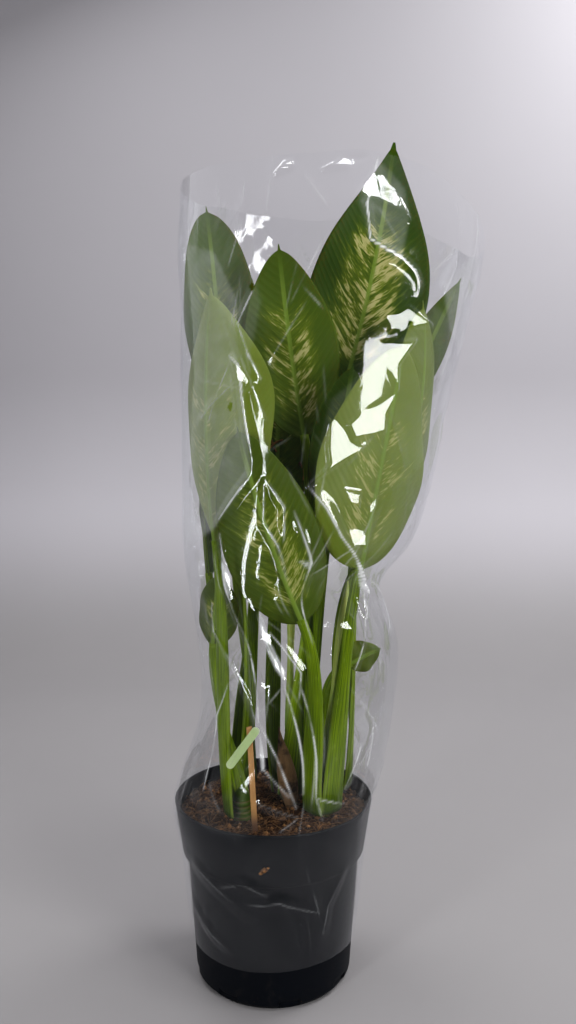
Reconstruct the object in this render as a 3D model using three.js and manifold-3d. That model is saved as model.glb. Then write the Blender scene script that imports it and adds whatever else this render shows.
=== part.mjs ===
// A dieffenbachia in its grower's pot, standing in a clear film sleeve.
//
// Frame: millimetres, +Z up. The origin is on the floor under the middle of the pot, -Y is the front
// and +X the right-hand side as seen from the front.
//
// The plant is six short canes in one pot of coir. Every leaf is one solid: a petiole that starts on its
// cane, runs up and opens into a waved blade with a raised midrib on its underside.

import * as THREE from 'three';
import Module from 'manifold-3d';
import { mergeVertices } from 'three/addons/utils/BufferGeometryUtils.js';

const wasm = await Module();
wasm.setup();

// ---------------------------------------------------------------- driving dimensions

const GAP = 0.35; // clearance between pieces that touch
const AROUND = 48; // sides of the pot and of the soil in it

const POT = {
  height: 215,
  rimRadius: 120.5, // outside of the rim, on top
  bandRadius: 111, // outside of the rim band, at its lower edge
  bandBottom: 152,
  wallTopRadius: 105, // outside of the wall, under the band
  baseRadius: 94.5,
  footRadius: 89, // flat underside
  footChamfer: 6,
  wall: 2.2,
  floor: 3,
  innerFootRadius: 80, // the floor meets the wall in a wide slope that backs the notches
  innerFootHeight: 26,
  innerFootSwell: 1.4, // that the wall is wider by, at the top of the slope
  innerStep: [1, 3.5], // the inside steps out this far above the lower edge of the rim band
  lip: 1.4,
  lipDepth: 2,
  notches: 8,
  notchWidth: 26,
  notchHeight: 10,
  notchDepth: 5,
  notchTurn: 12, // degrees
};

// Inside of the pot: height and radius, from the floor to the rim.
const POT_INSIDE = [
  [POT.floor, POT.innerFootRadius],
  [POT.innerFootHeight, POT.baseRadius - POT.wall + POT.innerFootSwell],
  [POT.bandBottom + POT.innerStep[0], POT.wallTopRadius - POT.wall],
  [POT.bandBottom + POT.innerStep[1], POT.bandRadius - POT.wall],
  [POT.height - POT.lipDepth, POT.rimRadius - POT.wall - POT.lip],
];

const SOIL = {
  edgeHeight: 197,
  mound: 5, // rise to the middle
  lump: 1.8, // height of its unevenness
  lumpTurns: [0.13, 0.11, 0.05, 0.19], // how fast the lumps follow each other, in radians a millimetre
  rings: [0.94, 0.8, 0.62, 0.42, 0.2],
};

// Canes: from the root ball up to a blunt tip, with their size along the height.
const CANE = { radius: 11, bottom: 160, sides: 12, shape: [[0, 1], [0.8, 1], [0.93, 0.72], [1, 0.27]] };

const PETIOLE = {
  root: { wide: 12.5, thick: 4.5 }, // half sizes of its foot, which sheathes the cane
  middle: { wide: 9.2, thick: 6 },
  end: { wide: 5.4, thick: 5 },
  spread: 0.1, // outward lean at the foot
  startPull: 0.9,
  endPull: 0.8,
  steps: 8,
};

const BLADE = {
  thickness: 0.9,
  ribDrop: 4.2, // height of the midrib under the blade, at the base
  ribTip: 0.3,
  ribEnd: 0.91, // where the midrib has run out
  widest: 0.36, // place of the widest point along a pointed blade
  ovalEnd: 0.965, // where a blunt blade closes, below its short tip
  stations: [0.03, 0.08, 0.16, 0.26, 0.37, 0.48, 0.59, 0.7, 0.8, 0.88, 0.94, 1],
  across: [-1, -0.55, -0.13, 0, 0.13, 0.55, 1],
  waves: 2.2,
  waveShift: 1.3,
  tipHalfWidth: 1.1,
};

// Half width of a long-pointed blade along its length, as a share of its greatest half width.
const POINTED_OUTLINE = [
  [0, 0], [0.03, 0.34], [0.08, 0.6], [0.16, 0.82], [0.26, 0.96], [0.36, 1], [0.48, 0.94],
  [0.6, 0.79], [0.71, 0.58], [0.81, 0.36], [0.89, 0.19], [0.95, 0.08], [1, 0.02],
];

// Where each cane leaves the soil (at the floor plan of the origin) and where its tip stands.
const CANES = {
  front_right: { at: [58, -30], top: [60, -31, 242] },
  front_left: { at: [-36, -42], top: [-37, -43, 238] },
  middle: { at: [18, 10], top: [19, 10, 246] },
  back: { at: [34, 76], top: [35, 77, 242] },
  back_left: { at: [-44, 42], top: [-45, 43, 238] },
  back_right: { at: [78, 40], top: [79, 40, 238] },
};

// Leaves. way: side of the cane that the petiole leaves from, in degrees. root: height of its foot.
// base, tip: ends of the blade. face: direction that the upper side looks to, in degrees (-90 is the
// front). wide: greatest width. cup: how far each half rolls up, in degrees. The rest has a usual value.
const USUAL_LEAF = {
  bow: 0, // bulge of the midrib towards the upper side
  sway: 0, // its bulge sideways
  wave: 3, // height of the edge's waves
  full: 0.4, // place of the widest point
  blunt: 0.6, // share of a plain oval in the outline
  rib: 1, // size of the midrib
};
const LEAVES = [
  { name: 'tall_back', cane: 'back', way: -60, root: 214, base: [90, 50, 720], tip: [149, 38, 1016],
    face: -94, bow: -4, sway: 6, wide: 152, cup: 14, full: 0.36, blunt: 0.1 },
  { name: 'middle', cane: 'middle', way: -80, root: 216, base: [38, -12, 650], tip: [7, -30, 874],
    face: -90, bow: -10, sway: -2, wide: 114, cup: 14, blunt: 0.5, full: 0.44 },
  { name: 'left_back', cane: 'back_left', way: -50, root: 214, base: [-62, 44, 676],
    tip: [-82, 22, 934], face: -60, bow: 6, wide: 108, cup: 34, blunt: 0.8, full: 0.46 },
  { name: 'left_front', cane: 'front_left', way: 200, root: 210, base: [-64, -57, 528],
    tip: [-70, -51, 819], face: 50, bow: -11, wide: 166, cup: 62, full: 0.52, blunt: 0.3 },
  { name: 'front_low', cane: 'front_right', way: -140, root: 208, base: [34, -100, 445],
    tip: [-38, -88, 661], face: 86, bow: -4, sway: 5, wide: 116, cup: 22, full: 0.36, blunt: 0.6 },
  { name: 'front_right', cane: 'front_right', way: -50, root: 210, base: [98, -70, 500],
    tip: [150, -64, 758], face: 118, bow: -10, sway: 6, wide: 148, cup: 26, full: 0.33, blunt: 0.6 },
  { name: 'right', cane: 'front_right', way: 35, root: 212, base: [102, -22, 502],
    tip: [178, -8, 814], face: 140, bow: -22, sway: -18, wide: 114, cup: 30, full: 0.5, blunt: 0.7 },
  { name: 'far_right', cane: 'back_right', way: -20, root: 210, base: [126, 70, 604],
    tip: [234, 42, 852], face: 240, bow: 4, wide: 56, cup: 30, wave: 2, full: 0.6, blunt: 0.2 },
  { name: 'small_left', cane: 'front_left', way: 110, root: 208, base: [-72, -12, 400],
    tip: [-66, -22, 488], face: 70, wide: 58, cup: 40, wave: 2, blunt: 0.8 },
  { name: 'low_right', cane: 'back_right', way: -120, root: 208, base: [91, -1, 376],
    tip: [132, 4, 394], face: 110, wide: 42, cup: 20, wave: 2, blunt: 0.4 },
  { name: 'back_tall', cane: 'back', way: 80, root: 210, base: [72, 96, 590], tip: [94, 104, 862],
    face: -88, bow: -8, wide: 112, cup: 24 },
  { name: 'back_left', cane: 'back_left', way: 84, root: 210, base: [-26, 86, 500],
    tip: [-32, 88, 755], face: -80, bow: -6, wide: 98, cup: 26 },
  { name: 'left_side', cane: 'back_left', way: 175, root: 208, base: [-80, 26, 480],
    tip: [-88, 32, 668], face: -10, bow: -4, wide: 84, cup: 26 },
  { name: 'inner', cane: 'middle', way: 165, root: 216, base: [4, 44, 545], tip: [6, 60, 775],
    face: -90, bow: 8, wide: 88, cup: 16 },
  { name: 'inner_right', cane: 'middle', way: 10, root: 214, base: [66, -37, 560],
    tip: [93, -41, 735], face: -100, bow: 4, wide: 70, cup: 16 },
].map((leaf) => ({ ...USUAL_LEAF, ...leaf }));

// Young leaves, still rolled: they stand on the tip of their cane. shape: their size along the height.
const ROLLED = [
  { name: 'right', cane: 'front_right', tip: [88, -40, 484], radius: 5.6 },
  { name: 'middle', cane: 'middle', tip: [24, 8, 540], radius: 5.2 },
];
const ROLLED_SHAPE = [[0, 0.5], [0.06, 0.85], [0.5, 0.8], [0.72, 1.15], [0.86, 0.95], [0.95, 0.5], [1, 0.15]];
const ROLLED_SIDES = 10;

// A withered leaf base that curls round the front of the middle cane.
const DRY_SHEATH = {
  ...USUAL_LEAF, base: [22, -17, 195.5], tip: [7, -33, 308], face: 82, wide: 34, cup: 80, bow: -3,
  wave: 0, full: 0.36, blunt: 0, rib: 0.2, start: 0.06, skips: 2,
};

const STAKE = { wide: 6.5, thick: 4, top: [-26, -75, 323], soilPoint: [-20, -80, 213], bottom: 150 };

// The label leans on the front of the stake; its ends as x and height, and where it meets the stake.
const TAG = { high: [-16, 322], low: [-50, 276], width: 9.5, thickness: 0.8, meets: 297, sides: 6 };

// The sleeve: height, middle (x, y), half width and half depth of the film, from the pot to its mouth.
const SLEEVE = {
  thickness: 0.8,
  around: 28,
  rightDrop: 62, // the cut edge of the mouth runs down on the right-hand side
  seam: 680, // height at which the film is parted into a lower and an upper solid
  rings: [
    [50, 0, 0, 101, 101], [100, 0, 0, 107, 107], [149, 0, 0, 112.4, 112.4], [215, 0, 0, 121.9, 121.9],
    [258, 12, 1, 119, 121], [300, 24, 2, 117, 121], [420, 27, 2, 119, 123], [480, 14, 0, 114, 125],
    [525, 28, 2, 135, 131], [600, 40, 2, 149, 135], [680, 48, 3, 156, 139], [740, 56, 4, 164, 141],
    [810, 64, 4, 173, 136], [880, 70, 4, 180, 132], [950, 72, 4, 179, 112],
  ],
};

const FINISHES = {
  pot: { color: 0x1b2127, roughness: 0.42 },
  soil: { color: 0x4a2c1a, roughness: 0.95 },
  cane: { color: 0x4f7a24, roughness: 0.5 },
  leaf: { color: 0x3d6b2a, roughness: 0.42 },
  rolled: { color: 0x9bb64a, roughness: 0.45 },
  dry: { color: 0x6b4526, roughness: 0.8 },
  stake: { color: 0xb9793c, roughness: 0.65 },
  tag: { color: 0xb4cf95, roughness: 0.5 },
  sleeve: { color: 0xdfe6ea, roughness: 0.08, transparent: true, opacity: 0.25 },
};

// ---------------------------------------------------------------- small helpers

const WELD = 1e-4; // points closer than this are one point

const radians = THREE.MathUtils.degToRad;
const lerp = THREE.MathUtils.lerp;
const vector = (point) => new THREE.Vector3(...point);
const heading = (degrees) => new THREE.Vector3(Math.cos(radians(degrees)), Math.sin(radians(degrees)), 0);

// Straight lines between the points [x, y] of a table.
function along(table, x) {
  const last = table.length - 1;
  const k = Math.min(Math.max(table.findIndex((row) => row[0] >= x), 1), last);
  const [low, high] = [table[k - 1], table[k]];
  return lerp(low[1], high[1], (x - low[0]) / (high[0] - low[0]));
}

// The part of a direction that is square to an axis, at unit length.
function squareTo(axis, direction) {
  return direction.clone().addScaledVector(axis, -direction.dot(axis)).normalize();
}

function bodyOf(points, faces) {
  const geometry = new THREE.BufferGeometry();
  const places = points.flatMap((point) => [point.x, point.y, point.z]);
  geometry.setAttribute('position', new THREE.Float32BufferAttribute(places, 3));
  geometry.setIndex(faces.flat());
  geometry.computeVertexNormals();
  return geometry;
}

// A closed geometry as a solid that can be joined and cut, and back.
function solidOf(geometry) {
  const plain = geometry.clone();
  plain.deleteAttribute('normal');
  plain.deleteAttribute('uv');
  const merged = mergeVertices(plain, WELD);
  return new wasm.Manifold(new wasm.Mesh({
    numProp: 3,
    vertProperties: new Float32Array(merged.attributes.position.array),
    triVerts: new Uint32Array(merged.index.array),
  }));
}

function geometryOf(solid) {
  const mesh = solid.getMesh();
  const geometry = new THREE.BufferGeometry();
  geometry.setAttribute('position', new THREE.Float32BufferAttribute(mesh.vertProperties, 3));
  geometry.setIndex([...mesh.triVerts]);
  geometry.computeVertexNormals();
  return geometry;
}

const plant = new THREE.Group();
plant.name = 'potted_dieffenbachia';

function addPiece(name, geometry, finish) {
  const mesh = new THREE.Mesh(geometry, new THREE.MeshStandardMaterial({ metalness: 0, ...finish }));
  mesh.name = name;
  plant.add(mesh);
}

// ---------------------------------------------------------------- lofts

// Round bar through rings { middle, radius }, each ring level, closed by flat ends.
function roundBar(rings, sides) {
  const points = [];
  const faces = [];
  for (const ring of rings) {
    for (let side = 0; side < sides; side += 1) {
      const spoke = heading((360 * side) / sides).multiplyScalar(ring.radius);
      points.push(ring.middle.clone().add(spoke));
    }
  }
  for (let k = 0; k + 1 < rings.length; k += 1) {
    for (let side = 0; side < sides; side += 1) {
      const a = k * sides + side;
      const b = k * sides + ((side + 1) % sides);
      faces.push([a, b, b + sides], [a, b + sides, a + sides]);
    }
  }
  const lastRing = (rings.length - 1) * sides;
  for (let side = 1; side + 1 < sides; side += 1) {
    faces.push([0, side + 1, side], [lastRing, lastRing + side, lastRing + side + 1]);
  }
  return bodyOf(points, faces);
}

// Skin over sections that each hold an upper row and a lower row of points, with the two faces
// of the blade split into triangles alike.
function skinOf(sections) {
  const row = BLADE.across.length;
  const around = 2 * row;
  const points = sections.flatMap((section) => [...section.upper, ...[...section.lower].reverse()]);
  const faces = [];
  for (let k = 0; k + 1 < sections.length; k += 1) {
    for (let i = 0; i < around; i += 1) {
      const a = k * around + i;
      const b = k * around + ((i + 1) % around);
      const [c, d] = [b + around, a + around];
      if (i < row) {
        faces.push([a, b, c], [a, c, d]);
      } else {
        faces.push([a, b, d], [b, c, d]);
      }
    }
  }
  const end = (sections.length - 1) * around;
  for (let i = 0; i + 1 < row; i += 1) {
    const under = around - 1 - i;
    faces.push([i + 1, i, under], [i + 1, under, under - 1]);
    faces.push([end + i, end + i + 1, end + under], [end + i + 1, end + under - 1, end + under]);
  }
  return bodyOf(points, faces);
}

// ---------------------------------------------------------------- leaves

// Midrib of a blade: its place and direction at a share u of the length.
function midribOf(leaf) {
  const base = vector(leaf.base);
  const run = vector(leaf.tip).sub(base);
  const length = run.length();
  const axis = run.clone().normalize();
  const normal = squareTo(axis, heading(leaf.face));
  const side = axis.clone().cross(normal);
  const bulge = normal.clone().multiplyScalar(leaf.bow).addScaledVector(side, leaf.sway);
  return {
    normal,
    at: (u) => base.clone().addScaledVector(run, u).addScaledVector(bulge, 4 * u * (1 - u)),
    direction: (u) => axis.clone().multiplyScalar(length)
      .addScaledVector(bulge, 4 * (1 - 2 * u)).normalize(),
  };
}

// Half width of a blade at a share u of its length: part pointed, part plain oval.
function halfWidthOf(leaf, u) {
  const shifted = u ** (Math.log(BLADE.widest) / Math.log(leaf.full));
  const v = Math.min(u / BLADE.ovalEnd, 1);
  const oval = 2 * Math.sqrt(v * (1 - v));
  const share = lerp(along(POINTED_OUTLINE, shifted), oval, leaf.blunt);
  return Math.max((leaf.wide / 2) * share, BLADE.tipHalfWidth);
}

function bladeSection(leaf, midrib, u) {
  const direction = midrib.direction(u);
  const normal = squareTo(direction, midrib.normal);
  const side = direction.clone().cross(normal);
  const middle = midrib.at(u);
  const half = halfWidthOf(leaf, u);
  const roll = radians(leaf.cup);
  const rib = leaf.rib * lerp(BLADE.ribDrop, BLADE.ribTip, Math.min(u / BLADE.ribEnd, 1));
  const upper = [];
  const lower = [];
  for (const t of BLADE.across) {
    const aside = (half * Math.sin(roll * t)) / roll;
    const phase = 2 * Math.PI * BLADE.waves * u + BLADE.waveShift * Math.sign(t);
    const wave = leaf.wave * Math.sin(phase) * t * t * Math.sin(Math.PI * u);
    const lift = (half * (1 - Math.cos(roll * t))) / roll + wave;
    const place = middle.clone().addScaledVector(side, aside).addScaledVector(normal, lift);
    const drop = t === 0 ? rib : 0;
    upper.push(place.clone().addScaledVector(normal, BLADE.thickness / 2));
    lower.push(place.clone().addScaledVector(normal, -BLADE.thickness / 2 - drop));
  }
  return { upper, lower };
}

// An oval section with as many points as a blade section has.
function ovalSection(middle, side, normal, wide, thick) {
  const row = BLADE.across.length;
  const place = (turn) => middle.clone()
    .addScaledVector(side, wide * Math.cos(turn)).addScaledVector(normal, thick * Math.sin(turn));
  const upper = [];
  const lower = [];
  for (let i = 0; i < row; i += 1) {
    const turn = Math.PI * (1 - (i + 0.5) / row);
    upper.push(place(turn));
    lower.push(place(-turn));
  }
  return { upper, lower };
}

function footOf(leaf) {
  const cane = CANES[leaf.cane];
  const share = (leaf.root - CANE.bottom) / (cane.top[2] - CANE.bottom);
  const reach = CANE.radius + PETIOLE.root.thick + GAP;
  const place = new THREE.Vector3(...cane.at, CANE.bottom).lerp(vector(cane.top), share);
  return place.addScaledVector(heading(leaf.way), reach);
}

// The petiole turns from its cane's side of the leaf to the side that the blade faces.
function petioleSections(leaf, midrib) {
  const start = footOf(leaf);
  const end = midrib.at(0);
  const span = start.distanceTo(end);
  const away = heading(leaf.way).multiplyScalar(PETIOLE.spread).setZ(1).normalize();
  const out = away.clone().multiplyScalar(PETIOLE.startPull * span);
  const into = midrib.direction(0).multiplyScalar(PETIOLE.endPull * span);
  const firstFace = leaf.way + 180;
  const turn = ((((leaf.face - firstFace) % 360) + 540) % 360) - 180;
  const sections = [];
  for (let step = 0; step <= PETIOLE.steps; step += 1) {
    const q = step / PETIOLE.steps;
    const middle = start.clone().multiplyScalar(2 * q ** 3 - 3 * q ** 2 + 1)
      .addScaledVector(out, q ** 3 - 2 * q ** 2 + q)
      .addScaledVector(end, 3 * q ** 2 - 2 * q ** 3)
      .addScaledVector(into, q ** 3 - q ** 2);
    const direction = start.clone().multiplyScalar(6 * q ** 2 - 6 * q)
      .addScaledVector(out, 3 * q ** 2 - 4 * q + 1)
      .addScaledVector(end, 6 * q - 6 * q ** 2)
      .addScaledVector(into, 3 * q ** 2 - 2 * q).normalize();
    const normal = squareTo(direction, heading(firstFace + turn * q));
    const side = direction.clone().cross(normal);
    const [low, high, share] = q < 0.5
      ? [PETIOLE.root, PETIOLE.middle, q / 0.5]
      : [PETIOLE.middle, PETIOLE.end, (q - 0.5) / 0.5];
    sections.push(ovalSection(middle, side, normal, lerp(low.wide, high.wide, share),
      lerp(low.thick, high.thick, share)));
  }
  return sections;
}

function leafBody(leaf) {
  const midrib = midribOf(leaf);
  const blade = BLADE.stations.map((u) => bladeSection(leaf, midrib, u));
  return skinOf([...petioleSections(leaf, midrib), ...blade]);
}

// ---------------------------------------------------------------- canes, rolled leaves, dry sheath

// Rings of a bar from foot to top; shape holds its size along the way, as [share, size].
function ringsOf(foot, top, radius, shape) {
  return shape.map(([share, size]) => ({ middle: foot.clone().lerp(top, share), radius: radius * size }));
}

function caneBody(cane, extra = 0) {
  const foot = new THREE.Vector3(...cane.at, CANE.bottom);
  const rings = ringsOf(foot, vector(cane.top), CANE.radius, CANE.shape);
  rings[0].middle.z -= extra;
  for (const ring of rings) {
    ring.radius += extra;
  }
  return roundBar(rings, CANE.sides);
}

function rolledBody(rolled) {
  const foot = vector(CANES[rolled.cane].top).add(new THREE.Vector3(0, 0, GAP));
  return roundBar(ringsOf(foot, vector(rolled.tip), rolled.radius, ROLLED_SHAPE), ROLLED_SIDES);
}

function drySheathBody(sheath) {
  const midrib = midribOf(sheath);
  const stations = [sheath.start, ...BLADE.stations.slice(sheath.skips)];
  return skinOf(stations.map((u) => bladeSection(sheath, midrib, u)));
}

// ---------------------------------------------------------------- pot and soil

function potBody() {
  const outside = [
    [0, 0], [POT.footRadius, 0], [POT.baseRadius, POT.footChamfer], [POT.wallTopRadius, POT.bandBottom],
    [POT.bandRadius, POT.bandBottom], [POT.rimRadius, POT.height - POT.lip],
    [POT.rimRadius - POT.lip / 2, POT.height], [POT.rimRadius - POT.wall - POT.lip / 2, POT.height],
  ];
  const inside = POT_INSIDE.map(([height, radius]) => [radius, height]).reverse();
  const profile = [...outside, ...inside, [0, POT.floor]].map(([x, y]) => new THREE.Vector2(x, y));
  const shell = solidOf(new THREE.LatheGeometry(profile, AROUND).rotateX(Math.PI / 2));
  let pot = shell;
  for (let k = 0; k < POT.notches; k += 1) {
    const block = new THREE.BoxGeometry(4 * POT.notchDepth, POT.notchWidth, 2 * POT.notchHeight);
    block.translate(POT.baseRadius + POT.notchDepth, 0, 0);
    block.rotateZ(radians(POT.notchTurn + (360 * k) / POT.notches));
    pot = pot.subtract(solidOf(block));
  }
  return geometryOf(pot);
}

function lumpAt(spot) {
  const [a, b, c, d] = SOIL.lumpTurns;
  return Math.sin(spot.x * a + 1) * Math.cos(spot.y * b) + Math.sin(spot.x * c + spot.y * d);
}

function soilBody() {
  const edge = along(POT_INSIDE, SOIL.edgeHeight) - GAP;
  const levels = POT_INSIDE.map(([height, radius]) => [height + GAP, radius - GAP])
    .filter(([height]) => height < SOIL.edgeHeight);
  levels.push([SOIL.edgeHeight, edge]);
  const points = [new THREE.Vector3(0, 0, POT.floor + GAP)];
  for (const [height, radius] of levels) {
    for (let k = 0; k < AROUND; k += 1) {
      points.push(heading((360 * k) / AROUND).multiplyScalar(radius).setZ(height));
    }
  }
  for (const share of SOIL.rings) {
    for (let k = 0; k < AROUND; k += 1) {
      const spot = heading((360 * k) / AROUND).multiplyScalar(share * edge);
      points.push(spot.setZ(SOIL.edgeHeight + SOIL.mound * (1 - share ** 2) + SOIL.lump * lumpAt(spot)));
    }
  }
  points.push(new THREE.Vector3(0, 0, SOIL.edgeHeight + SOIL.mound));
  const faces = [];
  const ringCount = levels.length + SOIL.rings.length;
  const spotOf = (ring, k) => 1 + ring * AROUND + (k % AROUND);
  for (let k = 0; k < AROUND; k += 1) {
    faces.push([0, spotOf(0, k + 1), spotOf(0, k)]);
    faces.push([points.length - 1, spotOf(ringCount - 1, k), spotOf(ringCount - 1, k + 1)]);
    for (let ring = 0; ring + 1 < ringCount; ring += 1) {
      const [a, b] = [spotOf(ring, k), spotOf(ring, k + 1)];
      const [c, d] = [spotOf(ring + 1, k + 1), spotOf(ring + 1, k)];
      faces.push([a, b, c], [a, c, d]);
    }
  }
  let soil = solidOf(bodyOf(points, faces));
  for (const cane of Object.values(CANES)) {
    soil = soil.subtract(solidOf(caneBody(cane, GAP)));
  }
  return geometryOf(soil.subtract(solidOf(stakeBody(GAP))));
}

// ---------------------------------------------------------------- stake and tag

function stakeBody(extra = 0) {
  const top = vector(STAKE.top);
  const fall = vector(STAKE.soilPoint).sub(top);
  const foot = top.clone().addScaledVector(fall, (top.z - STAKE.bottom + extra) / -fall.z);
  const stick = new THREE.BoxGeometry(STAKE.wide + 2 * extra, STAKE.thick + 2 * extra, top.distanceTo(foot));
  const lean = new THREE.Quaternion().setFromUnitVectors(new THREE.Vector3(0, 0, 1),
    top.clone().sub(foot).normalize());
  return stick.applyQuaternion(lean).translate(...top.clone().add(foot).multiplyScalar(0.5).toArray());
}

// A narrow label with round ends that leans on the front of the stake.
function tagBody() {
  const high = new THREE.Vector2(...TAG.high);
  const low = new THREE.Vector2(...TAG.low);
  const slope = high.clone().sub(low).angle();
  const half = high.distanceTo(low) / 2 - TAG.width / 2;
  const outline = new THREE.Shape();
  outline.absarc(half, 0, TAG.width / 2, -Math.PI / 2, Math.PI / 2);
  outline.absarc(-half, 0, TAG.width / 2, Math.PI / 2, 1.5 * Math.PI);
  const label = new THREE.ExtrudeGeometry(outline,
    { depth: TAG.thickness, bevelEnabled: false, curveSegments: TAG.sides });
  const middle = high.clone().add(low).multiplyScalar(0.5);
  const [top, soil] = [STAKE.top, STAKE.soilPoint];
  const share = (top[2] - TAG.meets) / (top[2] - soil[2]);
  const stakeFront = lerp(top[1], soil[1], share) - STAKE.thick / 2;
  return label.rotateZ(slope).rotateX(Math.PI / 2).translate(middle.x, stakeFront - GAP, middle.y);
}

// ---------------------------------------------------------------- film sleeve

// The rings of the film below its seam, and those above it.
function sleeveRings() {
  const seam = SLEEVE.rings.findIndex(([height]) => height === SLEEVE.seam);
  const [height, ...sizes] = SLEEVE.rings[seam];
  return [
    SLEEVE.rings.slice(0, seam + 1),
    [[height + GAP, ...sizes], ...SLEEVE.rings.slice(seam + 1)],
  ];
}

function sleeveBody(rings, rightDrop) {
  const count = SLEEVE.around;
  const points = [];
  const top = rings.length - 1;
  for (const inset of [0, SLEEVE.thickness]) {
    rings.forEach(([height, x, y, halfWidth, halfDepth], k) => {
      for (let side = 0; side < count; side += 1) {
        const spoke = heading((360 * side) / count);
        const drop = k === top ? rightDrop * Math.max(spoke.x, 0) ** 3 : 0;
        points.push(new THREE.Vector3(x + (halfWidth + SLEEVE.thickness - inset) * spoke.x,
          y + (halfDepth + SLEEVE.thickness - inset) * spoke.y, height - drop));
      }
    });
  }
  const faces = [];
  const inner = rings.length * count;
  for (let side = 0; side < count; side += 1) {
    const next = (side + 1) % count;
    for (let k = 0; k < top; k += 1) {
      const [a, b] = [k * count + side, k * count + next];
      faces.push([a, b, b + count], [a, b + count, a + count]);
      const [c, d] = [inner + a, inner + b];
      faces.push([c, d + count, d], [c, c + count, d + count]);
    }
    const [a, b] = [top * count + side, top * count + next];
    faces.push([a, b, inner + b], [a, inner + b, inner + a]);
    faces.push([side, inner + next, next], [side, inner + side, inner + next]);
  }
  return bodyOf(points, faces);
}

// ---------------------------------------------------------------- the assembly

addPiece('pot', potBody(), FINISHES.pot);
addPiece('soil', soilBody(), FINISHES.soil);
for (const [name, cane] of Object.entries(CANES)) {
  addPiece(`cane_${name}`, caneBody(cane), FINISHES.cane);
}
for (const leaf of LEAVES) {
  addPiece(`leaf_${leaf.name}`, leafBody(leaf), FINISHES.leaf);
}
for (const rolled of ROLLED) {
  addPiece(`rolled_leaf_${rolled.name}`, rolledBody(rolled), FINISHES.rolled);
}
addPiece('dry_sheath', drySheathBody(DRY_SHEATH), FINISHES.dry);
addPiece('stake', stakeBody(), FINISHES.stake);
addPiece('tag', tagBody(), FINISHES.tag);
const [lowerFilm, upperFilm] = sleeveRings();
addPiece('film_sleeve', sleeveBody(lowerFilm, 0), FINISHES.sleeve);
addPiece('film_mouth', sleeveBody(upperFilm, SLEEVE.rightDrop), FINISHES.sleeve);

export default plant;
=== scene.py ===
"""A potted dieffenbachia in a clear film sleeve: its looks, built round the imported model.

Sizes are in millimetres in the frame of the model: +Z up, -Y the front, the origin on the floor under
the middle of the pot. They become metres where a mesh is made.
"""

import math

import bpy
import numpy as np
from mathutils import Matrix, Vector


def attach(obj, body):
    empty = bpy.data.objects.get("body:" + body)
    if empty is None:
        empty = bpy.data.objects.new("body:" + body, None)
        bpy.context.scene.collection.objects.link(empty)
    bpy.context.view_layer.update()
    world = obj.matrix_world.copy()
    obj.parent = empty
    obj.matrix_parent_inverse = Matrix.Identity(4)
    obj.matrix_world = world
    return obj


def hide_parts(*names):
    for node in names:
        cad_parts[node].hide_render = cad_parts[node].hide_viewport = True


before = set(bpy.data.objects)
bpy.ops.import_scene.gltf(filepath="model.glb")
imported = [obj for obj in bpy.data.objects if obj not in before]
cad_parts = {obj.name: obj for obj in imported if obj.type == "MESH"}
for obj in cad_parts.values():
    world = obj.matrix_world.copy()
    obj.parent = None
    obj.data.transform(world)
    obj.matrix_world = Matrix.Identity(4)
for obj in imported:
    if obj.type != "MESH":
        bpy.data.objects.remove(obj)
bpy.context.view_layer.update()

bl_info = {
    "name": "Potted dieffenbachia",
    "version": (1, 0, 0),
    "blender": (4, 5, 0),
    "location": "3D View > Sidebar > Dieffenbachia",
    "description": "Leaves, petioles, coir, pot and film sleeve for the packed dieffenbachia",
    "category": "Add Mesh",
}

MM = 0.001
SEEDS = {  # starts of the random draws
    "coir": 11, "fibres": 23, "crumbs": 31, "stake": 7, "withered_sheath": 4, "dried_scraps": 9,
}

# -------------------- sizes that the solids have too

POT_TOP = 215
POT_OUTSIDE = [(60, 0), (89, 0), (94.5, 6), (105, 152), (111, 152), (120.5, 213.6), (119.8, POT_TOP)]
POT_INSIDE = [(117.6, POT_TOP), (116.9, 213), (108.8, 155.5), (102.8, 153), (93.7, 26), (80, 3), (0.5, 3)]
POT_ROUNDING = 1.6
NOTCHES = {"count": 8, "wide": 26, "high": 10, "radius": 91, "outside": 80, "turn": 12}

SOIL_HEIGHT, SOIL_MOUND, SOIL_RADIUS = 197, 5, 114.2
SOIL_LUMPS, SOIL_SKIRT, SOIL_GRAIN = 1.8, 24, 0.7

CANES = {  # foot in the soil and tip
    "front_right": ((58, -30, 160), (60, -31, 242)),
    "front_left": ((-36, -42, 160), (-37, -43, 238)),
    "middle": ((18, 10, 160), (19, 10, 246)),
    "back": ((34, 76, 160), (35, 77, 242)),
    "back_left": ((-44, 42, 160), (-45, 43, 238)),
    "back_right": ((78, 40, 160), (79, 40, 238)),
}
CANE_RADIUS = 11
CANE_SHAPE = [(0, 1), (0.8, 1), (0.93, 0.72), (1, 0.27)]
CANE_SCARS, SCAR_DEPTH, SCAR_WIDTH = (0.5, 0.58, 0.66, 0.74, 0.82), 0.9, 0.008

PETIOLE_SIZES = [(0, 12.5, 4.5), (0.5, 9.2, 6), (1, 5.4, 5)]  # share of the way, half width, half depth
PETIOLE_PULL_OUT, PETIOLE_PULL_IN = 0.9, 0.8
PETIOLE_LEAN = 0.1
PETIOLE_CHANNEL, PETIOLE_WINGS = 1.5, 0.3  # how much hollower and broader it is at its foot
PETIOLE_PAST_END, PETIOLE_LAP = 1.012, 400  # share it runs on into the blade, mm for a whole

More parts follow.
